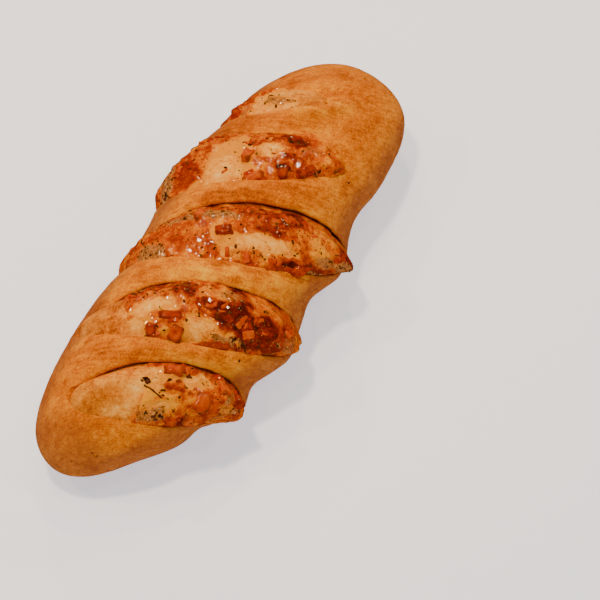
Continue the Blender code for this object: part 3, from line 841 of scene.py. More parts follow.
YELLOW_CHEESE = [Patch(*row) for row in (
    (40, -26, 1.9, 3.1, 0.7), (12, 74, 10.5, 2.2, 0.6), (17, -57, 5.9, 6, 1), (-7, -26, 0.9, 6.5, 0.5),
    (-27, -22, 2.4, 7.4, 0.8), (-38, -27, 1.5, 3.4, 0.6), (-51, -7, 1.2, 2.3, 0.6), (-56, 28, 4.6, 2, 0.6),
    (-72, -35, 2.6, 7.8, 0.8), (-69, -51, 1.9, 4.5, 0.6), (47, -38, 4.3, 3.9, 0.5), (30, 44, 2.2, 7, 0.7),
    (-12, -13, 1.1, 7.7, 0.6), (-23, -30, 1.6, 11, 0.7), (-18, -78, 3, 5, 0.6), (-65, -55, 1.8, 3.6, 0.8),
    (-22, -92, 3, 5, 0.8), (19, -80, 2.6, 5, 0.6), (-19, 13, 3, 7, 0.15), (13, -44, 2, 5, 0.5),
)]
print(len(BARE_DOUGH), "bare places, and", len(BROWNED_CHEESE + PASTE + YELLOW_CHEESE), "patches of filling")

# %% Make the inner dough
DOUGH_RINGS, DOUGH_COLUMNS = 262, 196
DOUGH_END = 97 * MM  # it ends just inside the crust's two tips
UNDER_LAYER = 0.5 * MM  # bare dough lies this far below the solid's filling
FLUSH = 0.25 * MM  # where a lip fades away, the dough comes up this far over the layer's face
STANDING_LIP = 0.3  # the share of a full lip from which a strap stands clear of the dough
DOUGH_LUMPS = {9: 0.30, 3: 0.10}  # millimetres high, for each width in millimetres
BAKED_DOUGH = [Patch(*row) for row in (
    (-85, -6, 9.8, 9.6, 1), (-88, -35, 3.4, 8.2, 0.9), (-57, 40, 7.6, 5.5, 0.9), (-86, 12, 7.4, 3.5, 0.8),
    (65, -2, 9.6, 8, 1), (63, 21, 5, 5.2, 0.6),
)]


def dough_depth(along, turn):
    """Depth of the inner dough's face: a little below the solid's filling, level where lips fade."""
    nearest, below = np.full(np.broadcast(along, turn).shape, 1.0), UNDER_LAYER
    for slash in SLASHES:
        outside, opened, lip = in_slash(slash, along, turn)
        stands = ease(lip / STANDING_LIP)
        below = np.where(outside < nearest, stands * UNDER_LAYER - (1 - stands) * FLUSH, below)
        nearest = np.minimum(nearest, outside)
    return layer_depth(along, turn) + below + rough(unrolled(along, turn), DOUGH_LUMPS, 11)


dough_turns = column_turns(DOUGH_COLUMNS)
along = np.linspace(-DOUGH_END, DOUGH_END, DOUGH_RINGS)[:, None] + 0 * dough_turns
turn = np.broadcast_to(dough_turns, along.shape)
positions = place(along, turn, dough_depth(along, turn))
for tip in (0, -1):
    positions[tip] = positions[tip].mean(0)
bread_dough = ball_of("bread_dough", positions, {
    "baked": patched(BAKED_DOUGH, *bent(along, turn, "dough"), softness=0.9),
    "stained": 1 - patched(BARE_DOUGH, *bent(along, turn, "filling"), softness=1.8),
    # painted shade along the lips
    "crease": painted_crease_shade(along, turn),
    "grain": drawn_out(along, turn, DOUGH_GRAIN),
})
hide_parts("bread")
tell(bread_dough)

# %% [markdown]
# ## Cheese, herbs and paste
#
# The filling is one closed film over the filled dough. It is thick where cheese melted and ran,
# thin at a patch's edge, and dips below the dough where the dough is bare. Separate blobs would
# show seams where kinds of filling meet, so all kinds share one film. Its upper face is a fine
# grid, its lower one a coarse grid, and the two rims are bridged.

# %% Kinds of filling
THICKNESS = {"cheese": 0.45, "browned": 0.75, "paste": 0.6, "yellow": 0.7}  # millimetres over bare dough
COVER_BLEND, COVER_BLEND_TURN = 3 * MM, 6  # over which the layer thins out at its edges


def filling_kinds(along, turn):
    """How strongly each kind of filling shows at each place, from 0 to 1."""
    moved = bent(along, turn, "filling")
    lists = {"browned": BROWNED_CHEESE, "paste": PASTE, "yellow": YELLOW_CHEESE}
    kinds = {kind: patched(patches, *moved) for kind, patches in lists.items()}
    kinds["cheese"] = 1 - patched(BARE_DOUGH, *moved, softness=0.7)
    return kinds


def strongest(kinds):
    """How strongly any filling shows at all."""
    return np.max(list(kinds.values()), axis=0)


def covered(along, turn):
    """1 where the layer of filling lies, 0 beyond its edges."""
    edges = (FILLING_NEAR_EDGE, FILLING_FAR_EDGE)
    first, last = (through(list(edge), list(edge.values()), turn) * MM for edge in edges)
    low, high = FILLING_TURNS
    inside = ease(np.minimum(along - first, last - along) / COVER_BLEND)
    return inside * ease((turn - low) / COVER_BLEND_TURN) * ease((high - turn) / COVER_BLEND_TURN)


# %% How thick the film is
HAM_NODES = sorted(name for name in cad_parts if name.startswith("ham_"))
HAM_BOXES = np.array([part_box(name) for name in HAM_NODES])
HAM_ALONG, HAM_TURN = place_of(HAM_BOXES.mean(axis=1))
HAM_REACH = np.ptp(HAM_BOXES, axis=1).mean(axis=1)
CLIMB = 0.9 * MM  # how far melted cheese climbs up a die
LIP_CLIMB, LIP_CLIMB_REACH = 0.6 * MM, 1.2 * MM  # how far it fills the crease below a strap's edge
BARE = 0.3  # millimetres that the film dips below bare dough
CHEESE_LUMPS = {3.4: 0.42, 1.8: 0.34, 1.0: 0.08}  # millimetres high, for each width in millimetres
OVERHANG_LUMPS = {5: 1.0, 2.6: 0.6}  # larger ones, where filling hangs over the roll's right side
OVERHANG_FROM, OVERHANG_OVER = -54, 22  # degrees
# In some places the melted cheese blew up into a dome.
BLISTERS = [Swelling(*row) for row in (
    (14, 50, 3.4, 7.5, 1.1), (-35, 0, 2.6, 9, 0.8), (-28, -30, 3, 16, 0.8), (-24, -62, 4, 9, 0.9),
    (9, -18, 2.4, 10, 0.6), (-6, 14, 3.5, 9, 0.6), (47, -39, 2, 5, 0.8), (-60, -58, 2.5, 8, 0.7),
    (20, -82, 4, 10, 1.3), (-21, -86, 4.5, 10, 1.6), (-16, -76, 3, 7, 0.8),
)]


def climbed(along, turn):
    """How far the film stands higher beside the dice of ham, and along the lower lips."""
    height = np.zeros(np.broadcast(along, turn).shape)
    for slash in SLASHES:
        outside, opened, lip = in_slash(slash, along, turn)
        beside = near(outside / LIP_CLIMB_REACH) * ease(opened * 3) * np.clip(1.2 - lip, 0, 1)
        height = np.maximum(height, LIP_CLIMB * beside)
    for ham_along, ham_turn, reach in zip(HAM_ALONG, HAM_TURN, HAM_REACH):
        away = np.hypot(along - ham_along, (turn - ham_turn) * PER_DEGREE) / reach
        height = np.maximum(height, CLIMB * near(math.sqrt(2) * away))
    return height


def cheese_lumps(along, turn):
    """Metres of bubbles, threads and hollows in the melted cheese."""
    return rough(unrolled(along, turn), CHEESE_LUMPS, 61)


def film_height(along, turn, kinds):
    """Metres that the film stands above bare dough, below 0 where it dips under."""
    flat, shown = unrolled(along, turn), strongest(kinds)
    thick = np.max([THICKNESS[kind] * kinds[kind] for kind in THICKNESS], axis=0)
    uneven = cheese_lumps(along, turn) * (0.8 + 0.5 * kinds["browned"])
    uneven += ease((OVERHANG_FROM - turn) / OVERHANG_OVER) * rough(flat, OVERHANG_LUMPS, 65)
    film = (thick * (1 + 0.5 * lumps(flat, 7 * MM, 64)) - BARE * (1 - shown)) * MM + uneven * shown
    film = film + climbed(along, turn) + swelling(along, turn, BLISTERS)
    return film + 2 * SPILL_HEIGHT * spilled(along, turn)


def filling_depth(along, turn):
    """Depth of whatever shows between the straps: film, or dough where it is bare."""
    height = film_height(along, turn, filling_kinds(along, turn))
    return dough_depth(along, turn) - np.maximum(height, 0)


print("dice of ham:", len(HAM_NODES), "with reaches", np.round(np.sort(HAM_REACH)[[0, -1]] / MM, 1), "mm")

# %% Where the film's rings go
FILM_COLUMNS = 262
FILM_SLASH_RINGS = (58, 56, 58, 52, 30)
FILM_STRAP_RINGS = 5
FILM_UNDERLAP = 2.0 * MM  # how far the dense rings run on under a strap


def film_rings(turns):
    """Places along the roll of the film's rings, dense between the lips."""
    rows, last = [], None
    for slash, rest, count in zip(SLASHES, RESTS, FILM_SLASH_RINGS):
        centre, half, _ = slash_line(slash, rest, turns)
        start, end = centre - half - FILM_UNDERLAP, centre + half + FILM_UNDERLAP
        if last is not None:
            middle = (last + start) / 2
            overlap = last > start
            start, last = np.where(overlap, middle, start), np.where(overlap, middle, last)
            steps = np.arange(1, FILM_STRAP_RINGS + 1) / (FILM_STRAP_RINGS + 1)
            rows += [last + (start - last) * s for s in steps]
        rows += [start + (end - start) * s for s in np.linspace(0, 1, count)]
        last = end
    return np.stack(rows)


film_turns = np.linspace(*FILLING_TURNS, FILM_COLUMNS)
along = film_rings(film_turns)
turn = np.broadcast_to(film_turns, along.shape)
print(along.shape, "rings and columns")

# %% Make the film
FILM_BACK_SHARE = 5  # the hidden lower face has this many times fewer rings and columns
FILM_BACK = 1.2 * MM  # it lies this far below the dough's surface
BEYOND_COVER = 0.6 * MM  # past the layer's edges, the upper face sinks this far into the dough


def grid_in(bm, positions):
    """Adds a grid whose vertices take positions[ring, column], and gives (rings, columns) in order."""
    rings, columns = positions.shape[:2]
    made = bmesh.ops.create_grid(bm, x_segments=rings - 1, y_segments=columns - 1, size=1.0)["verts"]
    shares = (np.array([v.co for v in made])[:, :2] + 1) / 2
    order = tuple(np.rint(shares * (rings - 1, columns - 1)).astype(int).T)
    for vertex, point in zip(made, positions[order]):
        vertex.co = point
    return order


kinds = filling_kinds(along, turn)
height = film_height(along, turn, kinds)
height = height - (height + BEYOND_COVER) * (1 - covered(along, turn))
upper = place(along, turn, dough_depth(along, turn) - height)
coarse = (slice(None, None, FILM_BACK_SHARE), slice(None, None, FILM_BACK_SHARE))
lower = place(along[coarse], turn[coarse], dough_depth(along[coarse], turn[coarse]) + FILM_BACK)

bm = bmesh.new()
upper_order = grid_in(bm, upper)
grid_in(bm, lower)
bmesh.ops.bridge_loops(bm, edges=[edge for edge in bm.edges if edge.is_boundary])
bmesh.ops.recalc_face_normals(bm, faces=bm.faces)
print("open edges in the film:", sum(1 for edge in bm.edges if not edge.is_manifold))
filling_layer = object_of(bm, "filling_layer")
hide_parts("filling")
film_values = {
    # The crease and hollow values darken the film: painted shade.
    **kinds, "shown": strongest(kinds), "crease": painted_crease_shade(along, turn),
    "hollow": -cheese_lumps(along, turn) / MM,
}
below = np.zeros(len(filling_layer.data.vertices) - along.size)  # the lower face needs no values
add_values(filling_layer, {
    name: np.concatenate([values[upper_order], below]) for name, values in film_values.items()
})
tell(filling_layer)

# %% [markdown]
# ## Diced ham
#
# The larger dice are solids already, so their places and sizes stand. Real dice have soft corners,
# shrink unevenly in the oven and are never quite alike. Each copy is merged, divided more finely,
# smoothed, and pushed in and out by noise, which keeps the cut faces that a rounded ball would lose.

# %% Make the ham dice
HAM_LUMPS = {2.4: 0.50, 1.0: 0.34}  # millimetres high, for each width in millimetres
HAM_SWELL = 0.1 * MM  # makes up for what smoothing takes off
CORNER_FROM = 0.6  # share of a die's reach from its middle where its scorched corners begin


def push_out(bm, amounts):
    """Moves each vertex along its normal."""
    bm.normal_update()
    for vertex, normal, amount in [(v, v.normal.copy(), a) for v, a in zip(bm.verts, amounts)]:
        vertex.co += normal * float(amount)


def die_of(name):
    """(a finer, softer copy of one solid die, and how far each vertex is out in a corner)."""
    bm = bmesh.new()
    bm.from_mesh(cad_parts[name].data)
    bmesh.ops.remove_doubles(bm, verts=bm.verts, dist=1e-6)
    bmesh.ops.subdivide_edges(bm, edges=bm.edges, cuts=3, use_grid_fill=True)
    points = np.array([v.co for v in bm.verts])
    far_out = np.linalg.norm((points - points.mean(0)) / np.ptp(points, axis=0), axis=1)
    cornered = np.clip((far_out / far_out.max() - CORNER_FROM) / (1 - CORNER_FROM), 0, 1)
    bmesh.ops.smooth_vert(bm, verts=bm.verts, factor=0.3, use_axis_x=True, use_axis_y=True, use_axis_z=True)
    points = np.array([v.co for v in bm.verts])
    push_out(bm, rough(points, HAM_LUMPS, 41) + HAM_SWELL)
    mesh = bpy.data.meshes.new(name)
    bm.to_mesh(mesh)
    bm.free()
    return mesh, cornered


def dice_mesh():
    """All the dice in one mesh, each with a shade of its own."""
    rng = np.random.default_rng(7)
    together = bmesh.new()
    shade = together.verts.layers.float.new("shade")
    corner = together.verts.layers.float.new("corner")
    for name in HAM_NODES:
        mesh, cornered = die_of(name)
        first = len(together.verts)
        together.from_mesh(mesh)
        bpy.data.meshes.remove(mesh)
        together.verts.ensure_lookup_table()
        own_shade = rng.uniform()
        for vertex, how_far in zip(together.verts[first:], cornered):
            vertex[shade], vertex[corner] = own_shade, how_far
    return together


ham_dice = object_of(dice_mesh(), "ham_dice", crisp_above=38)
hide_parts(*HAM_NODES)
tell(ham_dice)

# %% [markdown]
# ## Small bits
#
# Between the dice lie crumbs of ham, flakes of dried herb, a few stalks and some charred scraps.
# Each is a few dozen faces, set on the surface where it lies and turned at random. Ham crumbs come
# in clusters beside the dice. Herbs fall wherever the filling shows, most of all in the paste. One
# bmesh holds all bits of a kind, because hundreds of objects would slow the scene down.

# %% Set bits on the surface
STEP, STEP_TURN = 0.3 * MM, 0.5  # for measuring the slope of the surface
Cluster = namedtuple("Cluster", "along turn reach span count size")  # millimetres and degrees


def seats(along, turn, sunk, depth_at):
    """Matrices at these places: X along the roll, Z out of the surface, `sunk` metres below it."""
    along, turn, sunk = np.broadcast_arrays(np.asarray(along, float), np.asarray(turn, float), sunk)

    def surface(a, t):
        return place(a, t, depth_at(a, t) + sunk)

    here = surface(along, turn)
    ahead = surface(along + STEP, turn) - surface(along - STEP, turn)
    sideways = surface(along, turn + STEP_TURN) - surface(along, turn - STEP_TURN)
    matrices = []
    for point, x_way, y_way in zip(here, ahead, sideways):
        x_axis = Vector(x_way).normalized()
        z_axis = Vector(np.cross(x_way, y_way)).normalized()
        axes = Matrix((x_axis, z_axis.cross(x_axis), z_axis)).transposed().to_4x4()
        matrices.append(Matrix.Translation(Vector(point)) @ axes)
    return matrices


def tumbled(rng, tilt):
    """A random turn about the surface's normal, and a tilt up to `tilt` degrees."""
    spin = Matrix.Rotation(rng.uniform(0, 2 * math.pi), 4, "Z")
    tip = Matrix.Rotation(math.radians(rng.uniform(-tilt, tilt)), 4, "X")
    return spin @ tip


def scattered(clusters, seed):
    """(along, turn, size) of every bit in the clusters."""
    rng = np.random.default_rng(seed)
    found = []
    for c in clusters:
        for _ in range(c.count):
            far, way = math.sqrt(rng.uniform()), rng.uniform(0, 2 * math.pi)
            across, down = far * math.cos(way) * c.reach * MM, far * math.sin(way) * c.span * MM
            turn = c.turn + down * LEAN / PER_DEGREE
            along = c.along * MM + across / LEAN + STRAP_SLANT * (turn - c.turn)
            found.append((along, turn, c.size * MM * rng.uniform(0.6, 1.25)))
    return np.array(found)


# %% Shape one bit, and pile them up
def chunk(bm, matrix, sides, rng, roughness=0.25):
    """Adds a rough lump with these three sides, in metres."""
    stretch = Matrix.Diagonal((*[s / 2 for s in sides], 1))
    made = bmesh.ops.create_icosphere(bm, subdivisions=1, radius=1.0)["verts"]
    for vertex in made:
        vertex.co *= 1 + rng.uniform(-roughness, roughness)
    bmesh.ops.transform(bm, matrix=matrix @ stretch, verts=made)
    return made


def ham_crumb(bm, matrix, size, rng):
    """Adds a cut scrap: a block with worn edges and stray corners."""
    made = bmesh.ops.create_cube(bm, size=1.0)["verts"]
    for vertex in made:
        vertex.co *= 1 + rng.uniform(-0.28, 0.28)
    edges = list({edge for vertex in made for edge in vertex.link_edges})
    bevelled = bmesh.ops.bevel(
        bm, geom=edges, offset=0.11, affect="EDGES", segments=1, profile=0.5, material=-1
    )["verts"]
    sides = Matrix.Diagonal((size * 1.3, size * 0.85, size * 0.65, 1))
    bmesh.ops.transform(bm, matrix=matrix @ sides, verts=bevelled)
    return bevelled


def herb_flake(bm, matrix, size, rng):
    return chunk(bm, matrix, (size, size * rng.uniform(0.35, 0.8), 0.28 * MM), rng)


def scrap(bm, matrix, size, rng):
    return chunk(bm, matrix, (size, size * 0.7, size * 0.45), rng, roughness=0.35)


def pile_of(name, places, sunk_share, make, seed, tilt=30, depth_at=filling_depth, crisp_above=180):
    """One piece made of many bits. `make` adds one bit and gives its vertices."""
    rng = np.random.default_rng(seed)
    bm = bmesh.new()
    shade = bm.verts.layers.float.new("shade")
    along, turn, size = places.T
    for matrix, one_size in zip(seats(along, turn, sunk_share * size, depth_at), size):
        made = make(bm, matrix @ tumbled(rng, tilt), one_size, rng)
        own_shade = rng.uniform()
        for vertex in made:
            vertex[shade] = own_shade
    obj = object_of(bm, name, crisp_above)
    tell(obj)
    return obj


# %% Ham crumbs
HAM_CRUMBS = [Cluster(*row) for row in (
    (50, 50, 3, 6, 7, 2.6), (57, 44, 2, 3, 2, 2), (35, 15, 2, 3, 5, 2.2), (43, -3, 1.5, 4, 4, 1.8),
    (31, 45, 2.5, 3, 5, 2.2), (16, 50, 4, 4, 4, 2.4), (34, -22, 3.5, 6, 7, 2.4),
    (23.5, 1, 0.9, 5.5, 8, 2.6), (35, -1.6, 0.5, 0.5, 1, 2.4), (19, 22.7, 0.3, 0.3, 1, 2.6),
    (-3, 34, 2, 6, 5, 2.4), (6, -12, 2.5, 5, 7, 2.4), (11, -26, 3, 6, 7, 2.6), (15, -44, 3, 4, 4, 2.4),
    (-8, -28, 2.5, 7, 7, 2.6), (0, -50, 3, 6, 7, 2.8), (-13, -8, 2.5, 4, 3, 2.2), (-44, 20, 3, 4, 6, 2.4),
    (-50, -6, 3.5, 5, 4, 2.2), (-33, -25, 3, 6, 6, 2.4), (-29, -48, 4, 8, 9, 2.6),
    (-38, -50, 2.5, 8, 5, 2.2), (-22, -72, 4, 6, 5, 2.4), (-58, -34, 1.5, 4, 4, 2.4),
    (-50, -64, 3, 4, 6, 2.8), (-60, -63, 3, 5, 7, 3), (-70, -66, 3, 4, 7, 2.8), (-46, -82, 4, 5, 8, 2.8),
)]
ham_crumbs = pile_of("ham_crumbs", scattered(HAM_CRUMBS, 31), 0.3, ham_crumb, 32, crisp_above=30)

# %% Herb flakes
HERB_COUNT, HERB_TRIES = 1100, 24000
HERB_SIZES = (0.45 * MM, 1.6 * MM)
HERB_ALONG, HERB_TURNS = (-86 * MM, 68 * MM), (-112, 90)
HERB_CHANCES = {"paste": 0.75, "cheese": 0.22, "browned": 0.15}  # that a try is kept on each kind
HERB_ELSEWHERE = 0.05  # added to these, and so the chance on bare dough
HERB_INSET = 1.5 * MM  # herbs grow rare this near to the edge of a slash


def herb_places():
    """Random places, kept more often where paste or cheese shows."""
    rng = np.random.default_rng(51)
    along = rng.uniform(*HERB_ALONG, HERB_TRIES)
    turn = rng.uniform(*HERB_TURNS, HERB_TRIES)
    kinds = filling_kinds(along, turn)
    inside = np.max([ease(-in_slash(slash, along, turn)[0] / HERB_INSET) for slash in SLASHES], axis=0)
    wanted = HERB_ELSEWHERE + sum(chance * kinds[kind] for kind, chance in HERB_CHANCES.items())
    kept = rng.uniform(size=HERB_TRIES) < wanted * inside * covered(along, turn)
    chosen = np.flatnonzero(kept)[:HERB_COUNT]
    small, large = HERB_SIZES
    sizes = small + (large - small) * rng.uniform(size=len(chosen)) ** 2
    return np.stack([along[chosen], turn[chosen], sizes], -1)


herb_flakes = pile_of("herb_flakes", herb_places(), 0.0, herb_flake, 52, tilt=25)

# %% Charred scraps, and specks on the crust
CHARRED = [Cluster(*row) for row in (
    (-68.9, -22.4, 1.2, 1.2, 4, 2.3), (-64.4, -32.5, 0.8, 0.9, 3, 1.9), (-58.4, -41.2, 0.9, 1, 3, 2.2),
    (43.5, -4, 0.6, 2, 3, 1.8), (35, 15, 1.6, 2, 4, 2), (19.2, 65, 1.5, 1.5, 3, 1.8),
    (27, 63, 1, 1, 2, 1.6), (6.5, 67, 1, 1, 3, 2), (-44, 22, 2.2, 2.6, 8, 2.2),
    (-8.2, -12, 0.4, 0.4, 2, 1.4), (-4.4, -21, 0.4, 0.4, 2, 1.3), (56.6, 20, 0.5, 0.5, 2, 1.5),
    (39.5, -31, 0.8, 1.6, 3, 1.8), (31, -15, 1, 1, 2, 1.7), (-65.6, -47, 0.6, 0.6, 2, 1.6),
    (-36, -50, 1.5, 5, 6, 1.6), (-75, -52, 1.2, 2.5, 5, 1.8), (-1, 34, 1.5, 5, 5, 1.6),
    (60, 30, 0.6, 5, 6, 1.4), (20.5, 22, 0.3, 0.3, 1, 1.8),
)]
CRUST_SPECKS = [Cluster(*row) for row in (
    (91.2, -11, 0.3, 0.3, 1, 1.7), (47.3, -56, 0.5, 1.2, 3, 1.1), (46, -70, 0.2, 0.2, 1, 1.3),
    (-40.7, -58, 0.2, 0.2, 1, 1.7), (-93, -55, 6, 8, 4, 0.9), (70, -10, 14, 14, 5, 0.7),
    (-52, 0, 4, 30, 5, 0.7), (14, -10, 3, 30, 6, 0.7),
)]


def crust_depth(along, turn):
    """Depth of the straps' outer face."""
    return shoulders(along, turn) - crust_relief(along, turn)


charred_bits = pile_of("charred_bits", scattered(CHARRED, 53), 0.05, scrap, 54)
crust_specks = pile_of(
    "crust_specks", scattered(CRUST_SPECKS, 55), 0.08, scrap, 56, depth_at=crust_depth
)

# %% Herb stalks
Stalk = namedtuple("Stalk", "along turn end_along end_turn")  # millimetres and degrees
STALKS = [Stalk(*row) for row in (
    (-70.6, -24, -70.2, -38), (-67.5, -37, -69.5, -34), (-44.5, 3, -46, -2), (38.5, -29, 37.2, -36),
    (-20, 47, -23, 41), (-2, 30, -3.5, 24), (-36, -48, -37, -56), (7, 66, 5, 60), (44, -1, 43.5, -7),
)]
STALK_RADIUS = 0.28 * MM
STALK_LIFT = 0.25 * MM  # how high its middle line lies over the filling
STALK_POINTS, STALK_SIDES = 7, 6
STALK_BEND = 1.2  # degrees


def stalks():
    """Thin bent stalks that lie on the filling."""
    bm = bmesh.new()
    shade = bm.verts.layers.float.new("shade")
    rng = np.random.default_rng(57)
    for stalk in STALKS:
        share = np.linspace(0, 1, STALK_POINTS)
        along = (stalk.along + (stalk.end_along - stalk.along) * share) * MM
        turn = stalk.turn + (stalk.end_turn - stalk.turn) * share + STALK_BEND * np.sin(share * 5)
        path = [Vector(m.translation) for m in seats(along, turn, -STALK_LIFT, filling_depth)]
        thick = STALK_RADIUS * rng.uniform(0.7, 1.1)
        made = bmesh.ops.create_circle(bm, cap_ends=True, segments=STALK_SIDES, radius=thick)["verts"]
        first = (path[1] - path[0]).to_track_quat("Z", "Y").to_matrix().to_4x4()
        bmesh.ops.transform(bm, matrix=Matrix.Translation(path[0]) @ first, verts=made)
        face = next(iter(made[0].link_faces))
        all_made = list(made)
        for here, there in zip(path, path[1:]):
            extruded = bmesh.ops.extrude_face_region(bm, geom=[face])["geom"]
            verts = [g for g in extruded if isinstance(g, bmesh.types.BMVert)]
            face = next(g for g in extruded if isinstance(g, bmesh.types.BMFace))
            bmesh.ops.translate(bm, vec=there - here, verts=verts)
            all_made += verts
        own_shade = rng.uniform()
        for vertex in all_made:
            vertex[shade] = own_shade
    bmesh.ops.recalc_face_normals(bm, faces=bm.faces)
    return bm


herb_stalks = object_of(stalks(), "herb_stalks")
tell(herb_stalks)

# %% [markdown]
# ## The finish of the crust
#
# A milk-washed wheat crust, baked to a satin gold: orange-brown where it stood highest, cream
# where it tore or stretched, and a darker, duller tan low on its sides and at its ends. Close up it
# is mottled, faintly streaked along each strap, and pitted by tiny blisters that catch the light.
#
# One sum says how well baked each place is, and a ramp turns that into colour. That is truer to an
# oven than a mask for each shade, because they all lie on one scale. The sum makes the lips paler,
# for dough stretched there and as a painted highlight along each strap's edge. Only the dull sides,
# the painted shade in the creases, the specks and the oily places are laid over it. The patterns
# are as wide as a real crust's: clouds of a centimetre, mottling of two millimetres, streaks of one.
# The finest real grain and blisters would not show, so they are drawn 0.7 and 0.5 mm wide.


# %% Crust material
def baked_crust():
    # Milk-washed wheat crust, browned in the oven: a satin skin with hardly any mirror gloss.
    material, shader, has = new_material(
        "satin baked wheat crust", ("browned", "pale", "lip", "low_side", "crease", "spill"), {
            "clouds": (9, 3, 0.55), "mottle": (2.2, 4, 0.7), "fine": (0.7, 3, 0.7),
            "streaks": (1.0, 3, 0.6), "blisters": (0.5, 2, 0.6), "specks": (1.6, 2, 0.5),
        },
    )
    stipple = add_node(material, "MapRange", EASED, {"Value": has.blisters, "From Min": 0.4, "From Max": 0.6})
    # The lip term makes each strap's edge paler: dough stretched there, and a painted highlight.
    bake = weighed(
        material, -0.98, (has.browned, 0.30), (has.pale, -0.26), (has.lip, -0.18), (has.clouds, 0.7),
        (has.mottle, 0.7), (has.streaks, 0.6), (has.fine, 0.8), (stipple, 0.12),
    )
    golden = add_node(material, "ValToRGB", None, {"Fac": bake}, stops=[
        (0.0, "#FFC02C"), (0.16, "#FFA810"), (0.34, "#F29000"), (0.5, "#DC7600"), (0.66, "#C66000"),
        (0.84, "#A44A04"), (1.0, "#70300C"),
    ])
    sides = weighed(
        material, -0.85, (has.mottle, 1.1), (has.streaks, 0.5), (has.clouds, 0.6), (has.fine, 0.5)
    )
    dull_tan = add_node(material, "ValToRGB", None, {"Fac": sides}, stops=[
        (0.1, "#CC7A2C"), (0.5, "#AE5C24"), (0.9, "#86421E"),
    ])
    oily = add_node(material, "ValToRGB", None, {"Fac": has.mottle}, stops=[
        (0.35, "#E08800"), (0.5, "#C46000"), (0.68, "#9A3C04"),
    ])
    ran = weighed(material, -0.2, (has.spill, 1.0), (has.mottle, 0.4))
    # The crease layer is painted shade where the skin runs down under a strap's edge.
    colour = layered(
        material, golden, (has.low_side, 0.0, 1.0, 0.85, dull_tan), (has.crease, 0.1, 1.0, 0.5, "#8A4214"),
        (has.specks, 0.72, 0.80, 1.0, "#6E3218"), (ran, 0.25, 0.7, 1.0, oily),
    )
    roughness = add_node(
        material, "MapRange", EASED,
        {"Value": ran, "From Min": 0.25, "From Max": 0.7, "To Min": 0.42, "To Max": 0.2},
    )
    finish(material, shader, {
        "Base Color": colour, "Roughness": roughness,
        "Specular IOR Level": 0.14, "Specular Tint": "#FFB060",
        "Subsurface Weight": 0.05, "Subsurface Radius": (1.0, 0.45, 0.2), "Subsurface Scale": 1.0 * MM,
    }, [(has.mottle, 0.35 * MM), (has.streaks, 0.3 * MM), (has.fine, 0.35 * MM)])
    return material


give(baked_crust(), bread_crust)

# %% [markdown]
# ## The finish of the inner dough
#
# Between the straps the dough stayed soft and pale cream, and took colour only where it stood bare
# and high, or where melted cheese stained it. Its skin is matt, with pores of about a millimetre
# that are darkened with painted shade, and its creases along the lips get painted shade too. It has
# a scale of its own, because the crust's ramp has no shade as pale as steamed dough.


# %% Inner dough material
def soft_dough():
    # Steamed and lightly baked wheat dough: matt and a little translucent.
    material, shader, has = new_material("soft cream baked dough", ("baked", "crease", "stained"), {
        "clouds": (6, 3, 0.55), "mottle": (2.0, 4, 0.7), "fine": (0.7, 3, 0.7), "streaks": (1.4, 3, 0.6),
        "pores": (1.3, 1, 0.5),
    })
    pale = weighed(
        material, -1.37, (has.clouds, 0.9), (has.mottle, 1.1), (has.streaks, 0.5), (has.fine, 0.8),
        (has.stained, 0.45),
    )
    cream = add_node(material, "ValToRGB", None, {"Fac": pale}, stops=[
        (0.0, "#FFCC78"), (0.2, "#FFB44C"), (0.4, "#F89E30"), (0.6, "#E07E18"), (0.8, "#BC5C0C"),
        (1.0, "#8A3A0A"),
    ])
    browned = weighed(
        material, -1.12, (has.clouds, 0.9), (has.mottle, 1.0), (has.streaks, 0.4), (has.fine, 1.0)
    )
    skin = add_node(material, "ValToRGB", None, {"Fac": browned}, stops=[
        (0.1, "#F6A634"), (0.4, "#DA8018"), (0.7, "#B65E0E"), (1.0, "#883E0E"),
    ])
    dough = add_node(
        material, "Mix", {"data_type": "RGBA"}, {"Factor": has.baked, 6: cream, 7: skin}, output=2
    )
    # The crease layer is painted shade along the lips, and the dark pores are painted shade in them.
    colour = layered(
        material, dough, (has.crease, 0.1, 0.8, 0.6, "#8A4412"), (has.pores, 0.30, 0.24, 1.0, "#A0581C")
    )
    finish(material, shader, {
        "Base Color": colour, "Roughness": 0.5, "Specular IOR Level": 0.12, "Specular Tint": "#FFB060",
        "Subsurface Weight": 0.08, "Subsurface Radius": (1.0, 0.6, 0.3), "Subsurface Scale": 1.2 * MM,
    }, [(has.mottle, 0.35 * MM), (has.streaks, 0.15 * MM), (has.fine, 0.2 * MM)])
    return material


give(soft_dough(), bread_dough)
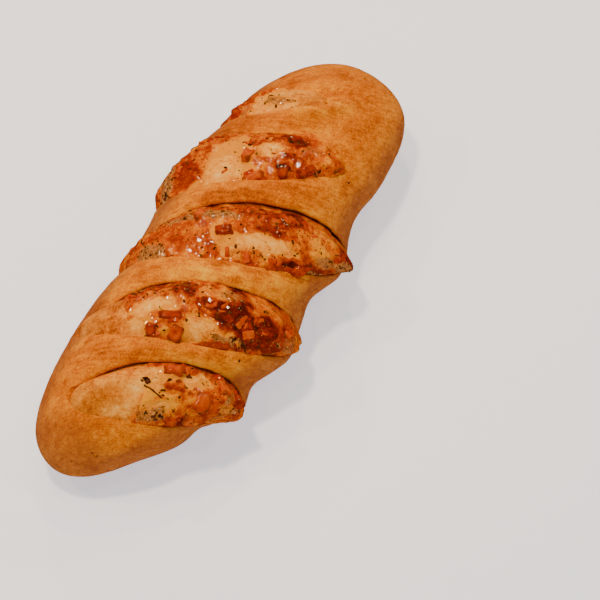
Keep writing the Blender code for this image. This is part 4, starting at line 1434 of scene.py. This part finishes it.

# %% [markdown]
# ## The finish of the filling
#
# Melted cheese is oily and glossy: gold where it is thick and soft, orange where it is thin,
# mahogany where the oven caught it. The paste is cheese sauce full of chopped herbs, dull grey and
# olive brown, with dark and pale flecks.
#
# The cheese itself shines only softly, and the oil on it is a clear coat. The coat follows the
# mesh's own bubbles, so it shows a few sharp glints. A single glossy surface with fine bumps would
# smear the lamps into a haze. Pale flecks of about a millimetre are painted glints in the colour.
# The hollows between the bubbles and the creases along the lips are darkened with painted shade.
# The patterns are as wide as the real ones: ripples and mottling of two millimetres, scorched spots
# of one. Chopped leaf is finer in part, and the finest of it is drawn 0.7 mm wide so that it shows.


# %% Filling material
def melted_filling():
    # Melted cheese with a film of oil: dull below, mirror smooth on top.
    material, shader, has = new_material(
        "oily melted cheese and herb paste",
        ("cheese", "browned", "paste", "yellow", "crease", "hollow", "shown"), {
            "clouds": (5, 3, 0.55), "mottle": (1.7, 4, 0.65), "fine": (0.7, 3, 0.7),
            "spots": (1.1, 2, 0.6), "strings": (0.9, 2, 0.6), "ripples": (2.4, 1, 0.5),
        },
    )
    # Deeper hollows between the cheese's bubbles come out darker: painted shade.
    bake = weighed(
        material, -1.05, (has.browned, 0.46), (has.yellow, -0.26), (has.cheese, 0.4), (has.hollow, 0.22),
        (has.clouds, 0.7), (has.mottle, 0.75), (has.fine, 0.6),
    )
    melted = add_node(material, "ValToRGB", None, {"Fac": bake}, stops=[
        (0.0, "#F8A010"), (0.14, "#EA8400"), (0.28, "#D46400"), (0.42, "#B84200"), (0.55, "#9C2E02"),
        (0.68, "#841C06"), (0.84, "#58120A"), (1.0, "#340E0A"),
    ])
    chopped = weighed(material, -0.75, (has.mottle, 1.0), (has.fine, 1.5), (has.hollow, 0.15))
    flecks = add_node(material, "ValToRGB", None, {"Fac": chopped}, stops=[
        (0.15, "#38221A"), (0.34, "#7A4824"), (0.5, "#AA6630"), (0.72, "#CC8440"), (0.95, "#ECAE68"),
    ])
    herby = weighed(material, -0.9, (has.paste, 0.85), (has.mottle, 1.2), (has.fine, 0.9))
    thick = weighed(material, -0.25, (has.shown, 1.0), (has.mottle, 0.5))
    filling = layered(material, melted, (herby, 0.25, 0.95, 1.0, flecks))
    # The pale flecks are painted glints, and the crease layer is painted shade along the lips.
    colour = layered(
        material, "#EE921A", (thick, 0.3, 0.75, 1.0, filling), (has.spots, 0.64, 0.72, 0.8, "#641808"),
        (has.strings, 0.66, 0.74, 0.7, "#FFB848"), (has.crease, 0.1, 0.8, 0.6, "#5E2A10"),
    )
    dull = weighed(material, 0.0, (has.paste, 0.5), (has.fine, 0.4))
    roughness = add_node(
        material, "MapRange", EASED,
        {"Value": dull, "From Min": 0.1, "From Max": 0.8, "To Min": 0.25, "To Max": 0.45},
    )
    finish(material, shader, {
        "Base Color": colour, "Roughness": roughness,
        "Specular IOR Level": 0.1, "Specular Tint": "#FFB060", "Coat Weight": 0.55, "Coat Roughness": 0.07,
        "Subsurface Weight": 0.05, "Subsurface Radius": (1.0, 0.4, 0.15), "Subsurface Scale": 0.8 * MM,
    }, [(has.ripples, 0.6 * MM), (has.fine, 0.08 * MM)])
    return material


give(melted_filling(), filling_layer)

# %% [markdown]
# ## The finish of the ham, herbs and scraps
#
# Cured ham bakes to a glossy brick red, scorched at its corners, with some dice paler. Dried herbs
# and charred scraps are near black, with a hint of green or of red-brown. Each bit has a shade of
# its own, stored on its vertices, so one material can dress hundreds of unlike bits. Fibres of
# meat and veins of a leaf are too fine to show, and are drawn 0.8 and 0.5 mm wide.


# %% Ham and herb materials
def cured_ham():
    # Cured ham with its own fat melted over it: smooth, moist and glossy.
    material, shader, has = new_material("glossy baked cured ham", ("shade", "corner"), {
        "clouds": (2.6, 3, 0.55), "fine": (0.8, 3, 0.6),
    })
    tone = weighed(material, -0.4, (has.shade, 0.45), (has.clouds, 0.9), (has.fine, 0.4))
    meat = add_node(material, "ValToRGB", None, {"Fac": tone}, stops=[
        (0.05, "#741C0A"), (0.3, "#A42C06"), (0.5, "#C04206"), (0.75, "#D45E0C"), (1.0, "#E67C24"),
    ])
    scorched = weighed(material, -0.35, (has.corner, 0.9), (has.clouds, 0.5), (has.fine, 0.3))
    finish(material, shader, {
        "Base Color": layered(material, meat, (scorched, 0.2, 0.9, 0.7, "#5A160C")), "Roughness": 0.35,
        "Specular IOR Level": 0.1, "Specular Tint": "#FFA850", "Coat Weight": 0.4, "Coat Roughness": 0.1,
        "Subsurface Weight": 0.06, "Subsurface Radius": (1.0, 0.3, 0.2), "Subsurface Scale": 0.8 * MM,
    }, [(has.clouds, 0.6 * MM), (has.fine, 0.25 * MM)])
    return material


def dried(name, stops, roughness):
    """A dull dark finish whose colour varies from one bit to the next."""
    material, shader, has = new_material(name, ("shade",), {"fine": (0.5, 2, 0.55)})
    tone = weighed(material, 0.0, (has.shade, 0.8), (has.fine, 0.3))
    finish(material, shader, {
        "Base Color": add_node(material, "ValToRGB", None, {"Fac": tone}, stops=stops),
        "Roughness": roughness, "Specular IOR Level": 0.15, "Specular Tint": "#FFA850",
    }, [(has.fine, 0.15 * MM)])
    return material


LEAF = [(0.1, "#1A1008"), (0.5, "#38220E"), (0.8, "#4C3816"), (1.0, "#6A4A22")]
STALK = [(0.1, "#2A1A10"), (1.0, "#4A2A16")]
CHAR = [(0.1, "#24120E"), (0.5, "#4A1E16"), (0.8, "#5C3020"), (1.0, "#7A4024")]
give(cured_ham(), ham_dice, ham_crumbs)
give(dried("dried herb leaf", LEAF, 0.6), herb_flakes)
give(dried("dried herb stalk", STALK, 0.6), herb_stalks)
give(dried("charred scrap", CHAR, 0.45), charred_bits, crust_specks)
